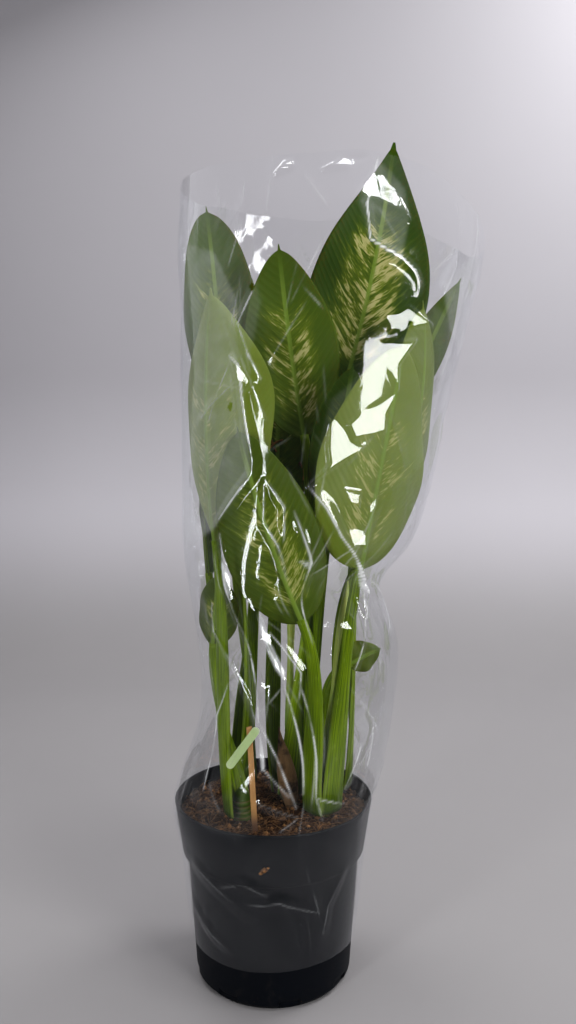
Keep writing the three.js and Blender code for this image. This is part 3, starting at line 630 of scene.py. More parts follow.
def film_finish(looks):
    """Clear film: mostly let through, with its mirror gloss by Fresnel, a milky share where hazy, and
    painted white highlights on fold crests and at glint places.
    """
    f = Finish("clear film")
    soft = f.relief(f.cloud(120.0, 3.0, 0.5, (1, 1, 0.5)), 0.04, 0.002)
    crinkle = f.cells(55.0, (1, 1, 0.7), "DISTANCE_TO_EDGE")
    relief = f.relief(f.maths("MINIMUM", crinkle, 0.12), looks.crinkle, 0.004, soft)
    mirror = f.node("ShaderNodeFresnel", {"IOR": looks.film_ior, "Normal": relief}).outputs[0]
    gloss = f.maths("MINIMUM", f.times(mirror, looks.gloss), looks.most_gloss)
    dust = f.step(f.cloud(40.0, 5.0, 0.65), 0.35, 0.8)
    # The haze attribute holds real haze and painted glint patches
    milk = f.scaled(f.number("fog"), f.scaled(dust, 0.5, 0.75), looks.base_haze)
    # White on fold crests: partly stress whitening of the film, partly a painted highlight, broken into
    # dashes by noise
    dashes_along_crest = f.scaled(f.step(f.cloud(22.0, 4.0, 0.6), 0.36, 0.6), 0.85, 0.15)
    white_crest_and_highlight = f.times(f.number("crease"), dashes_along_crest)
    milk = f.maths("ADD", milk, f.times(white_crest_and_highlight, looks.crease_white_and_highlight))
    both = f.maths("ADD", gloss, milk)
    f.finish(looks.milk, f.scaled(dust, 0.04, looks.film_roughness), relief,
             Metallic=f.maths("DIVIDE", gloss, both))
    clear = f.node("ShaderNodeBsdfTransparent", {"Color": looks.clear})
    mix = f.node("ShaderNodeMixShader", {0: f.maths("MINIMUM", both, 0.95), 1: clear.outputs[0],
                                         2: f.shader.outputs[0]})
    f.link(mix.outputs[0], f.tree.nodes["Material Output"].inputs["Surface"])
    return f.owner


def stage_finish(stage):
    """Pale wall colour that turns to the floor's grey where the sheet lies flat, with painted shade making
    the floor dark in front.
    """
    f = Finish("pale backdrop")
    place = f.node("ShaderNodeSeparateXYZ", {"Vector": f.place()})
    wall, floor = stage.backdrop_colour[:3], stage.floor_colour[:3]
    cloud = f.cloud(1.2, 4.0, 0.5)
    # painted shade: the floor in front of the plant fades to a tenth of its grey
    dark = f.step(place.outputs["Y"], *stage.front_painted_shade)
    ground = f.blend(dark, f.blend(cloud, [c * 0.9 for c in floor], floor), [c * 0.1 for c in floor])
    colour = f.blend(f.step(place.outputs["Z"], 0.0, 0.5), ground,
                     f.blend(cloud, [c * 0.93 for c in wall], wall))
    return f.finish(colour, 0.75, f.relief(f.cloud(300.0, 2.0, 0.5), 0.05, 0.001),
                    Specular_IOR_Level=0.2)


# -------------------- leaves

def midrib_of(leaf, u):
    """Places and directions of the midrib at the shares u of its length, and the blade's own facing."""
    base, tip = np.array(leaf["base"], float), np.array(leaf["tip"], float)
    run = tip - base
    length = np.linalg.norm(run)
    axis = run / length
    normal = square_to(axis, heading(leaf["face"]))
    bulge = leaf["bow"] * normal + leaf["sway"] * np.cross(axis, normal)
    u = np.asarray(u, float)[:, None]
    places = base + u * run + 4 * u * (1 - u) * bulge
    return places, unit(axis * length + 4 * (1 - 2 * u) * bulge), normal, length


def half_widths(leaf, u):
    shifted = u ** (math.log(WIDEST) / math.log(leaf["full"]))
    v = np.minimum(u / OVAL_END, 1)
    pointed = smooth_through(POINTED_OUTLINE, 1, shifted)
    share = pointed + (2 * np.sqrt(v * (1 - v)) - pointed) * leaf["blunt"]
    return np.maximum(leaf["wide"] / 2 * share, 1.1 * (1 - soft_step(0.97, 1, u)) + 0.3)


def blade_lattice(leaf, u, t):
    """Middle surface of a blade, its normals and the place of each point on it."""
    places, directions, facing, length = midrib_of(leaf, u)
    normals = square_to(directions, np.broadcast_to(facing, directions.shape))
    half = half_widths(leaf, u)[:, None]
    roll = math.radians(leaf["cup"])
    u, t = u[:, None], t[None, :]
    phase = 2 * math.pi * WAVES * u + WAVE_SHIFT * np.sign(t)
    wave = leaf["wave"] * np.sin(phase) * t**2 * np.sin(math.pi * u)
    spots = sweep(places, np.cross(directions, normals), normals, half * np.sin(roll * t) / roll,
                  half * (1 - np.cos(roll * t)) / roll + wave)
    away = np.abs(half * t)
    return spots, normals[:, None, :], half * t, length * u - VEIN_LEAN * away - VEIN_CURVE * away**2


def make_blade(name, leaf, number, finish, looks):
    even = np.linspace(0.02, 0.985, looks.blade_rows)
    u = END_CROWDING * (0.5 - 0.5 * np.cos(math.pi * even))
    u += (1 - END_CROWDING) * np.linspace(0.006, 1, looks.blade_rows)
    t = np.linspace(-1, 1, looks.blade_columns)
    t = np.sign(t) * np.abs(t) ** EDGE_CROWDING
    spots, up, aside, vein = blade_lattice(leaf, u, t)
    away, edge = np.abs(aside), np.abs(t)[None, :]
    ripple = looks.vein_relief * np.cos(2 * math.pi * vein / looks.vein_spacing)
    ripple *= (1 - soft_step(0.8, 1, edge)) * soft_step(0, 12, away)
    size = (RIB_DROP + (RIB_TIP - RIB_DROP) * np.minimum(u / RIB_END, 1))[:, None]
    groove = RIB_GROOVE * size * np.exp(-(away / (0.5 * size + 0.6)) ** 2)
    rib = size * np.sqrt(np.clip(1 - (away / (1.1 * size + 0.4)) ** 2, 0, 1))
    thin = BLADE_THICK / 2 * (1 - 0.6 * soft_step(0.7, 1, edge))
    points, faces = thin_skin(spots + (thin + ripple - groove)[..., None] * up,
                              spots - (thin - ripple + rib)[..., None] * up)
    shares = np.broadcast_to(u[:, None], aside.shape)
    reach = soft_step(0.02, 0.14, shares) * (1 - soft_step(0.58, 0.86, shares))
    across = 1 - soft_step(0.35, 0.82, edge)
    feather = leaf["feather"] * (0.35 + 0.65 * reach) * (0.15 + 0.85 * across) * reach
    twice = {"vein": vein, "aside": aside, "share": shares, "feather": feather,
             "tone": np.full(aside.shape, leaf["tone"]), "number": np.full(aside.shape, float(number))}
    values = {key: np.tile(part.ravel(), 2) for key, part in twice.items()}
    values["upper"] = np.repeat([1.0, 0.0], aside.size)
    return make_piece("blade_" + name, points, faces, finish, ["leaf_" + name], values)


def petiole_path(leaf, q):
    """Middles, directions and facings of a petiole at the shares q of its way."""
    foot, tip = (np.array(point, float) for point in CANES[leaf["cane"]])
    share = (leaf["root"] - foot[2]) / (tip[2] - foot[2])
    start = foot + share * (tip - foot) + heading(leaf["way"]) * (CANE_RADIUS + PETIOLE_SIZES[0][2])
    places, directions, _, _ = midrib_of(leaf, [0.0])
    end = places[0]
    span = np.linalg.norm(end - start)
    away = heading(leaf["way"]) * PETIOLE_LEAN
    away[2] = 1
    out = unit(away) * PETIOLE_PULL_OUT * span
    into = directions[0] * PETIOLE_PULL_IN * span
    turn = (leaf["face"] - leaf["way"] + 360) % 360 - 180
    normal = heading(leaf["way"] + 180 + turn * q)
    q = q[:, None]
    along = unit((6 * q**2 - 6 * q) * start + (3 * q**2 - 4 * q + 1) * out
                 + (6 * q - 6 * q**2) * end + (3 * q**2 - 2 * q) * into)
    return curve(q, start, out, end, into), along, square_to(along, normal)


def make_petiole(name, leaf, number, finish, looks):
    q = np.linspace(0, PETIOLE_PAST_END, looks.petiole_rows)
    middles, along, normals = petiole_path(leaf, np.minimum(q, 1))
    middles = middles + along * np.maximum(q - 1, 0)[:, None] * PETIOLE_LAP
    turn, q = circle(looks.petiole_sides), q[:, None]
    wide, thick = (straight_through(PETIOLE_SIZES, column, q) for column in (1, 2))
    hollow = PETIOLE_CHANNEL * (1 - soft_step(0.3, 0.62, q)) + 0.22
    wings = 1.02 + PETIOLE_WINGS * (1 - soft_step(0.3, 0.7, q))
    scoop = 1 - hollow * (1 - np.cos(turn) ** 2)
    across = wide * wings * np.cos(turn)
    up = thick * np.sin(turn) * np.where(np.sin(turn) > 0, scoop, 1.1)
    values = {
        "run": np.broadcast_to(q, across.shape),
        "turn": np.broadcast_to(np.abs(turn / math.pi - 1), across.shape),
        "margin": np.broadcast_to(soft_step(0.88, 0.99, np.abs(np.cos(turn))), across.shape),
        "number": np.full(across.shape, float(number)),
    }
    points = sweep(middles, np.cross(along, normals), normals, across, up)
    return make_piece("petiole_" + name, points, bar_faces(*across.shape), finish,
                      ["leaf_" + name], values)


# -------------------- canes and young leaves

def make_cane(name, cane, finish):
    q = np.concatenate([np.linspace(0, 0.8, 60), np.linspace(0.81, 1, 16)])
    scars = np.max([np.exp(-((q - place) / SCAR_WIDTH) ** 2) for place in CANE_SCARS], axis=0)
    size = CANE_RADIUS * straight_through(CANE_SHAPE, 1, q) - SCAR_DEPTH * scars
    size += 0.5 * np.sin(q * 90) * (q < 0.8)
    points = upright(*cane, q, size[:, None], circle(28))
    values = {"scar": np.broadcast_to(scars[:, None], points.shape[:2])}
    return make_piece("stalk_" + name, points, bar_faces(*points.shape[:2]), finish,
                      ["cane_" + name], values)


def make_rolled(name, rolled, finish):
    """A leaf that is still rolled up: its cross-section is a spiral with one open lip."""
    cane, tip, radius = rolled
    q = np.linspace(0, 1, 70)
    size = 0.9 * radius * smooth_through(ROLLED_SHAPE, 1, q)
    turns = circle(40) / (2 * math.pi)
    lip = 1 + 0.16 * (1 - turns) - 0.15 * np.exp(-(turns / 0.03) ** 2)
    points = upright(CANES[cane][1], tip, q, size[:, None] * lip, 2 * math.pi * (turns + 0.35 * q[:, None]))
    shape = points.shape[:2]
    values = {"run": np.broadcast_to(q[:, None], shape), "turn": np.broadcast_to(turns, shape)}
    return make_piece("young_leaf_" + name, points, bar_faces(*shape), finish,
                      ["rolled_leaf_" + name], values)


def make_withered(name, leaves, thick, crumple, finish, replaced):
    """Crumpled papery strips as one piece."""
    draws, heap = np.random.default_rng(SEEDS[name]), Heap()
    u, t = np.linspace(0.05, 1, PAPERY_ROWS), np.linspace(-1, 1, PAPERY_COLUMNS)
    for leaf in leaves:
        spots, up, aside, vein = blade_lattice(leaf, u, t)
        folds = 0.5 * np.sin(u[:, None] * 21 + t[None, :] * 7) + 0.35 * draws.standard_normal(aside.shape)
        points, faces = thin_skin(spots + (thick / 2 + crumple * folds)[..., None] * up,
                                  spots - (thick / 2 - crumple * folds)[..., None] * up)
        heap.add(points, faces, vein=np.tile(vein.ravel(), 2), aside=np.tile(aside.ravel(), 2))
    return heap.piece(name, finish, "dry_sheath", replaced)


# -------------------- pot, coir, stake and label

def rounded_profile(corners, radius, steps=4):
    """A line through corners with each inner corner rounded."""
    corners = np.array(corners, float)
    line = [corners[0]]
    for before, corner, after in zip(corners, corners[1:], corners[2:]):
        reach = min(radius, np.linalg.norm(corner - before) / 2.2, np.linalg.norm(after - corner) / 2.2)
        start = corner + unit(before - corner) * reach
        end = corner + unit(after - corner) * reach
        for q in np.arange(steps + 1) / steps:
            line.append((1 - q) ** 2 * start + 2 * q * (1 - q) * corner + q**2 * end)
    return np.array([*line, corners[-1]])


def make_pot(finish, sizes):
    outline = rounded_profile(POT_OUTSIDE + POT_INSIDE, POT_ROUNDING)
    fine = [outline[0]]
    for start, end in zip(outline, outline[1:]):
        steps = max(1, int(np.linalg.norm(end - start) / sizes.pot_step))
        fine += [start + (end - start) * (k + 1) / steps for k in range(steps)]
    fine = np.array(fine)
    turn = circle(sizes.pot_sides)
    radius = np.broadcast_to(fine[:, :1], (len(fine), turn.size)).copy()
    height = np.broadcast_to(fine[:, 1:], radius.shape)
    step = 2 * math.pi / NOTCHES["count"]
    beside = np.abs((turn - math.radians(NOTCHES["turn"]) + step / 2) % step - step / 2) * radius
    is_wall = (np.arange(len(fine)) < np.argmax(fine[:, 1]))[:, None] & (radius > NOTCHES["outside"])
    notched = (beside < NOTCHES["wide"] / 2) & (height < NOTCHES["high"]) & is_wall
    radius[notched] = np.minimum(radius[notched], NOTCHES["radius"])
    points = np.stack([radius * np.cos(turn), radius * np.sin(turn), height], axis=-1)
    return make_piece("pot_moulding", points, bar_faces(*radius.shape), finish, ["pot"],
                      {"height": height}, 35)


def soil_height(x, y):
    share = np.hypot(x, y) / SOIL_RADIUS
    lump = np.sin(x * 0.13 + 1) * np.cos(y * 0.11) + np.sin(x * 0.05 + y * 0.19)
    fine = 0.9 * np.sin(x * 0.41 + 2 * np.sin(y * 0.23)) * np.sin(y * 0.37 + 1.5 * np.sin(x * 0.29))
    finer = 0.6 * np.sin(x * 1.1 + y * 0.6) * np.sin(y * 0.9 - x * 0.5 + 1)
    return SOIL_HEIGHT + SOIL_MOUND * (1 - share**2) + SOIL_LUMPS * lump * (1 - share**6) + fine + finer


def make_coir(finish):
    turn = circle(220)
    radius = SOIL_RADIUS * np.linspace(1, 0.01, 80)[:, None]
    x, y = radius * np.cos(turn), radius * np.sin(turn)
    rough = SOIL_GRAIN * np.random.default_rng(SEEDS["coir"]).standard_normal(x.shape)
    top = np.stack([x, y, soil_height(x, y) + rough], axis=-1)
    skirt = top[:1] * (0.96, 0.96, 1) - (0, 0, SOIL_SKIRT)
    points = np.concatenate([skirt, top])
    return make_piece("coir", points, bar_faces(*points.shape[:2]), finish, ["soil"])


def free_spot(draws):
    """A random spot on the coir that no cane stands in."""
    while True:
        angle, radius = draws.uniform(0, 2 * math.pi), STREWN_WITHIN * math.sqrt(draws.uniform(0, 1))
        x, y = radius * math.cos(angle), radius * math.sin(angle)
        if all(math.hypot(x - foot[0], y - foot[1]) > CANE_CLEAR for foot, _ in CANES.values()):
            return x, y


def make_fibres(finish, count):
    """Loose coir fibres on the soil, each a thin bent bar of three sides."""
    draws, heap, turn = np.random.default_rng(SEEDS["fibres"]), Heap(), circle(3)
    steps = 6
    thinning = 1 - 0.6 * np.abs(np.arange(steps + 1) / (steps / 2) - 1)
    for _ in range(count):
        x, y = free_spot(draws)
        angle, bend = draws.uniform(0, 2 * math.pi), draws.uniform(*FIBRES["bend"])
        length, radius = draws.uniform(*FIBRES["length"]), draws.uniform(*FIBRES["radius"])
        rise, tone = draws.uniform(*FIBRES["rise"]) ** 1.2, draws.uniform(0, 1)
        line = []
        for q in np.arange(steps + 1) / steps:
            lift = rise * math.sin(math.pi * q * draws.uniform(0.8, 1))
            line.append((x, y, soil_height(x, y) + 0.6 + lift))
            x += length / steps * math.cos(angle + bend * q)
            y += length / steps * math.sin(angle + bend * q)
            inward = FIBRES_WITHIN / max(FIBRES_WITHIN, math.hypot(x, y))
            x, y = x * inward, y * inward
        ring = np.stack([np.cos(turn) * math.sin(angle), -np.cos(turn) * math.cos(angle), np.sin(turn)],
                        axis=-1)
        points = np.array(line)[:, None, :] + (radius * thinning)[:, None, None] * ring
        heap.add(points, bar_faces(*points.shape[:2]), number=tone)
    return heap.piece("coir_fibres", finish, "soil", ["soil"])


def make_crumbs(finish, count):
    """Crumbs of bark and coir on the soil, and some that stick to the front of the pot."""
    draws, heap = np.random.default_rng(SEEDS["crumbs"]), Heap()
    spots = [(*free_spot(draws), draws.uniform(*CRUMB_SIZES)) for _ in range(count)]
    crumbs = [((x, y, soil_height(x, y) + 0.3 * size), size) for x, y, size in spots]
    corners = np.array([(1, 0, 0), (0, 1, 0), (-1, 0, 0), (0, -1, 0), (0, 0, 1), (0, 0, -1)])
    sides = [(0, 1, 4), (1, 2, 4), (2, 3, 4), (3, 0, 4), (1, 0, 5), (2, 1, 5), (3, 2, 5), (0, 3, 5)]
    for place, size in crumbs + STUCK_CRUMBS:
        tone = draws.uniform(0, 1)
        stretch = draws.uniform(0.5, 1.1, corners.shape)
        heap.add(place + size * stretch * corners, sides, number=tone)
    return heap.piece("coir_crumbs", finish, "soil", ["soil"])


def make_stake(finish):
    top, soil = np.array(STAKE["top"], float), np.array(STAKE["soil"], float)
    foot = top + (soil - top) * (top[2] - STAKE["bottom"]) / (top[2] - soil[2])
    q = np.linspace(0, 1, 90)
    middles = foot + q[:, None] * (top - foot)
    along = np.broadcast_to(unit(top - foot), middles.shape)
    fronts = square_to(along, np.broadcast_to((0, -1.0, 0), middles.shape))
    draws = np.random.default_rng(SEEDS["stake"])
    aside, up = np.array(STAKE_SECTION).T
    wobble = np.cumsum(draws.standard_normal((len(q), len(aside))), axis=0) * STAKE["wobble"]
    end = (1 - 0.25 * soft_step(0.985, 1, q))[:, None]
    lattice = sweep(middles, np.cross(along, fronts), fronts, aside * STAKE["wide"] / 2 * end + wobble,
                    up * STAKE["thick"] / 2 * end + wobble[:, ::-1])
    lattice[-1, :, 2] += draws.uniform(-STAKE["splinters"], 0, len(aside))
    return make_piece("wood_stake", lattice, bar_faces(*lattice.shape[:2]), finish, ["stake"],
                      {"height": lattice[..., 2]}, 40)


def make_tag(finish):
    high, low = np.array(TAG["high"], float), np.array(TAG["low"], float)
    along = unit(high - low)
    beside = np.array((-along[1], along[0]))
    end = TAG["width"] / 2
    half = np.linalg.norm(high - low) / 2 - end
    turns = np.linspace(-math.pi / 2, math.pi / 2, 17)
    outline = [(half + end * math.cos(turn), end * math.sin(turn)) for turn in turns]
    outline = np.array(outline + [(-x, -y) for x, y in outline])
    top, soil = STAKE["top"], STAKE["soil"]
    share = (top[2] - TAG["meets"]) / (top[2] - soil[2])
    front = top[1] + share * (soil[1] - top[1]) - STAKE["thick"] / 2 - TAG["gap"]
    rings, edges = [], []
    for size, depth, edge in TAG_RINGS:
        flat = outline * size
        x, z = ((high + low) / 2 + flat[:, :1] * along + flat[:, 1:] * beside).T
        rings.append(np.stack([x, front - depth - TAG["curl"] * (flat[:, 0] / half) ** 2, z], axis=-1))
        edges.append(np.full(len(x), float(edge)))
    return make_piece("plain_tag", rings, bar_faces(len(rings), len(outline)), finish, ["tag"],
                      {"edge": edges}, 50)


# -------------------- film sleeve

def ring_at(height):
    """Middle x and y, half width and half depth of the sleeve at each height."""
    return [smooth_through(SLEEVE_RINGS, column, height) for column in (1, 2, 3, 4)]


def film_spot(pixel):
    """Where a pixel's ray meets the front of the sleeve: distance round it from the front, and height."""
    forward = np.array((0, math.cos(CAMERA_DOWN), -math.sin(CAMERA_DOWN)))
    down = np.array((0, -math.sin(CAMERA_DOWN), -math.cos(CAMERA_DOWN)))
    right = np.array((1.0, 0, 0))
    ray = (forward + right * (pixel[0] - PICTURE[0] / 2) / FOCAL_PIXELS
           + down * (pixel[1] - PICTURE[1] / 2) / FOCAL_PIXELS)
    spots = CAMERA_AT + np.linspace(*SLEEVE_AHEAD, 901)[:, None] * ray
    x, y, wide, deep = ring_at(np.clip(spots[:, 2], SLEEVE_FOOT, SLEEVE_MOUTH))
    aside, ahead = (spots[:, 0] - x) / wide, (spots[:, 1] - y) / deep
    reach = np.hypot(aside, ahead)
    k = int(np.argmax(reach < 1)) or int(np.argmin(reach))
    height = spots[k, 2]
    return math.atan2(aside[k], -ahead[k]) * float(ring_at(np.array(height))[2]), height


def on_film(pixels):
    return [film_spot(pixel) for pixel in pixels]


def far_from_line(line, s, z):
    """Distance of each lattice point to a line of (s, z) points, and the share of the way along it."""
    best, share = np.full(s.shape, 1e9), np.zeros(s.shape)
    line = np.array(line, float)
    lengths = np.linalg.norm(np.diff(line, axis=0), axis=1)
    before, total = 0.0, lengths.sum()
    for start, way, length in zip(line, np.diff(line, axis=0), lengths):
        q = np.clip(((s - start[0]) * way[0] + (z - start[1]) * way[1]) / length**2, 0, 1)
        gap = np.hypot(s - start[0] - q * way[0], z - start[1] - q * way[1])
        nearer = gap < best
        best[nearer] = gap[nearer]
        share[nearer] = ((before + q * length) / total)[nearer]
        before += length
    return best, share


def inside_by(corners, s, z):
    """How far inside a polygon each lattice point lies, in millimetres; negative outside."""
    closed = np.array([*corners, corners[0]], float)
    gap, _ = far_from_line(closed, s, z)
    odd = np.zeros(s.shape, bool)
    for (s0, z0), (s1, z1) in zip(closed, closed[1:]):
        where = s0 + (z - z0) / (z1 - z0 if z1 != z0 else 1e-9) * (s1 - s0)
        odd ^= ((z0 > z) != (z1 > z)) & (s < where)
    return np.where(odd, gap, -gap)


def tent(gap, spread, crest):
    """Height of a fold with straight flanks and a rounded crest, 1 at the crest."""
    return np.clip(1 + crest / spread - np.hypot(gap, crest) / spread, 0, 1)


def random_folds(turn, wide, z, looks):
    """Small folds all round: their height, and how creased each point is."""
    draws = np.random.default_rng(looks.fold_seed)
    rise, crease = np.zeros(z.shape), np.zeros(z.shape)
    for _ in range(looks.fold_count):
        here, level = draws.uniform(-math.pi, math.pi), draws.uniform(*SMALL_FOLDS["level"])
        lean, length = draws.normal(0, 0.5), draws.uniform(*SMALL_FOLDS["length"])
        spread = draws.uniform(*SMALL_FOLDS["spread"])
        height = draws.uniform(*SMALL_FOLDS["height"])
        if level < POT_TOP:
            height *= 0.5
        beside = (turn - here + math.pi) % (2 * math.pi) - math.pi
        across, up = beside * wide, z - level
        gap = np.abs(across * math.cos(lean) - up * math.sin(lean))
        run = np.abs(across * math.sin(lean) + up * math.cos(lean)) / (length / 2)
        fade = 1 - soft_step(0.4, 1, run)
        calm = 0.5 if abs(here) < 1.2 and level > 600 else 0.45 if 1.2 < abs(here) < 2.1 else 1.0
        rise += calm * height * fade * tent(gap, spread, 0.8)
        crease = np.maximum(crease, fade * (1 - soft_step(CREST_SHARP, CREST_HALF, gap)) * height / 9)
    return rise, crease


def film_lattice(looks):
    """Turn and height of each point of the film; finer at the front, cut lower on the right."""
    even = np.linspace(-math.pi, math.pi, looks.film_columns, endpoint=False)
    turn = np.tile(even - looks.front_crowding * np.sin(even), (looks.film_rows, 1))
    share = np.linspace(0, 1, looks.film_rows)[:, None]
    drop = RIGHT_DROP * np.clip(np.sin(turn), 0, 1) ** 3
    uneven = 1.5 * np.sin(5 * turn + 1) + 0.8 * np.sin(13 * turn)
    foot = SLEEVE_FOOT + 1.2 * np.sin(3 * turn)
    return turn, foot + (SLEEVE_MOUTH - drop - 2.4 + uneven - foot) * share


def film_folds(turn, wide, z, front, looks):
    """Height of all folds and dents of the film, and how creased each point is."""
    s = turn * wide
    rise, crease = random_folds(turn, wide, z, looks)
    above = soft_step(POT_TOP, 300, z)
    dents = np.sin(s / 15 + 2 * np.sin(z / 50)) * np.sin(z / 24 + s / 60)
    dents += 0.35 * np.sin(s / 6.5 + z / 31) * np.sin(z / 10 - s / 40)
    rise += looks.back_dents * (1 + dents) * soft_step(1.7, 2.1, np.abs(turn)) * above
    flutes = np.sin(turn * 13 + 1.4 * np.sin(z / 37)) * np.exp(-((z - SLEEVE_NECK) / 90) ** 2)
    rise += 1.2 * (0.3 + flutes) * above
    swells = 0.5 + np.sin(turn * 5 + z / 60) * np.sin(z / 85 + 2 * turn)
    rise += 1.4 * swells * soft_step(POT_TOP, 260, z)
    for height, spread, pixels in FILM_FOLDS.values():
        gap, share = far_from_line(on_film(pixels), s, z)
        fade = (0.25 + 0.75 * np.sqrt(np.clip(4 * share * (1 - share), 0, 1))) * front
        rise = np.maximum(rise, 0.35 * rise + height * fade * tent(gap, spread, looks.crest))
        crease = np.maximum(crease, fade * (1 - soft_step(CREST_SHARP, CREST_HALF, gap)) * height / 5)
    rise = np.maximum(looks.reach * np.tanh(rise / looks.reach), DEEPEST_DENT)
    return rise, crease * (0.15 + 0.85 * soft_step(205, 225, z))


def flatten(rise, base, outward, s, z, front, looks):
    """Height of the film where its flat places are pulled level."""
    waves = looks.panel_wave * np.sin(s / 9 + z / 21 + 1.5 * np.sin(z / 34)) * np.sin(z / 17 - s / 40)
    for angles, pixels in FILM_PANELS.values():
        right, up = np.radians(angles)
        facing = np.array((math.sin(right) * math.cos(up), -math.cos(right) * math.cos(up), math.sin(up)))
        depth = inside_by(on_film(pixels), s, z) * front
        share = soft_step(-3.0, 2.0, depth) * front
        middle = (base + outward * looks.panel_rise)[depth > 0].mean(axis=0)
        flat = ((middle - base) @ facing) / (outward @ facing)
        rise = rise * (1 - share) + np.clip(flat + waves, -0.3, looks.reach) * share
    return rise


def make_film(finish, looks):
    turn, z = film_lattice(looks)
    middle_x, middle_y, wide, deep = ring_at(z)
    s, front = turn * wide, np.abs(turn) < FRONT_TURN
    outward = unit(np.stack([np.sin(turn) / wide, -np.cos(turn) / deep, np.zeros_like(turn)], axis=-1))
    base = np.stack([middle_x + wide * np.sin(turn), middle_y - deep * np.cos(turn), z], axis=-1)
    base += outward * looks.film_clear
    rise, crease = film_folds(turn, wide, z, front, looks)
    rise = flatten(rise, base, outward, s, z, front, looks)
    hug = POT_HUG + (1 - POT_HUG) * soft_step(205, 250, z)
    points = base + outward * (rise * hug)[..., None]

    fog = np.zeros(s.shape)
    # Real haze from FILM_FOG, and painted highlights where glints stand
    for places, low, high in ((FILM_FOG, -3, 5), (FILM_PAINTED_GLINTS, -1.2, 1.5)):
        for strength, pixels in places.values():
            depth = inside_by(on_film(pixels), s, z)
            fog = np.maximum(fog, strength * soft_step(low, high, depth) * front)

    keep = np.ones(s.shape, bool)
    round_it = np.stack([np.cos(turn), np.sin(turn), np.zeros_like(turn)], axis=-1)
    for place, level in on_film(FILM_VENTS):
        across, up = s - place, z - level
        gap = np.maximum(np.hypot(across, up), 1e-6)
        inside = (gap < VENT_RADIUS) & front
        keep &= ~inside
        pull = (VENT_RADIUS - gap) * ((gap < VENT_RADIUS + VENT_RIM) & ~inside & front)
        points = points + round_it * (pull * across / gap)[..., None]
        points[..., 2] += pull * up / gap

    faces = grid_faces(*turn.shape, around=True)
    faces = faces[keep.ravel()[faces].all(axis=1)]
    used = np.zeros(turn.size, bool)
    used[faces.ravel()] = True
    number = np.cumsum(used) - 1
    values = {"fog": fog.ravel()[used], "crease": crease.ravel()[used]}
    piece = make_piece("film", points.reshape(-1, 3)[used], number[faces].tolist(), finish,
                       ["film_sleeve", "film_mouth"], values)
    return piece


# -------------------- stage

def make_backdrop(stage):
    """Floor and backdrop as one sheet, with a wide curve between them."""
    far, radius, half = stage.backdrop_distance, stage.backdrop_curve, stage.backdrop_width / 2
    bend = np.linspace(0, math.pi / 2, 24)
    y = np.array([-half, *(far - radius + radius * np.sin(bend)), far])
    z = np.array([0, *(radius - radius * np.cos(bend)), stage.backdrop_height])
    points = np.array([(side * half, *spot) for spot in zip(y, z) for side in (-1, 1)])
    faces = [(2 * k, 2 * k + 1, 2 * k + 3, 2 * k + 2) for k in range(len(y) - 1)]
    add_mesh("backdrop", points, faces, stage_finish(stage))


def add_light(name, place, aim, size, power, colour):
    lamp = bpy.data.lights.new(name, "AREA")
    lamp.shape = "RECTANGLE"
    lamp.size, lamp.size_y = size
    lamp.energy, lamp.color = power, colour
    holder = bpy.data.objects.new(name, lamp)
    bpy.context.scene.collection.objects.link(holder)
    holder.location = place
    holder.rotation_euler = (Vector(aim) - Vector(place)).to_track_quat("-Z", "Y").to_euler()
    holder.visible_camera = False


def make_world(stage):
    """Light from all round: bright from above and behind, dim from the room in front of the plant."""
    f = Nodes(bpy.data.worlds.new("room light"))
    way = f.node("ShaderNodeTexCoord", {}).outputs["Generated"]
    lean = f.node("ShaderNodeVectorMath", {0: way, 1: (0, 0.75, 0.66)}, operation="DOT_PRODUCT")
    strength = f.node("ShaderNodeMapRange", {
        "Value": lean.outputs["Value"], "From Min": -0.5, "From Max": 0.6, "To Min": stage.room,
        "To Max": stage.sky}, interpolation_type="SMOOTHSTEP")
    light = f.tree.nodes["Background"]
    f.link(stage.sky_colour, light.inputs["Color"])
    f.link(strength.outputs["Result"], light.inputs["Strength"])
    return f.owner


def add_camera():
    view = bpy.data.cameras.new("photograph")
    view.sensor_width = SENSOR_WIDTH
    view.lens = FOCAL_PIXELS * SENSOR_WIDTH / PICTURE[1]
    view.clip_start, view.clip_end = 0.05, 30
    camera = bpy.data.objects.new("photograph", view)
    bpy.context.scene.collection.objects.link(camera)
    camera.location = CAMERA_AT * MM
    camera.rotation_euler = (math.pi / 2 - CAMERA_DOWN, 0, 0)
    bpy.context.scene.camera = camera


# -------------------- settings, operators and panel

def whole(name, about, default):
    return bpy.props.IntProperty(name=name, description=about, default=default)


def amount(name, about, default, unit="NONE"):
    return bpy.props.FloatProperty(name=name, description=about, default=default, unit=unit)


def colour(name, about, default):
    return bpy.props.FloatVectorProperty(name=name, description=about, subtype="COLOR", size=4, min=0,
                                         max=1, default=(*default, 1))


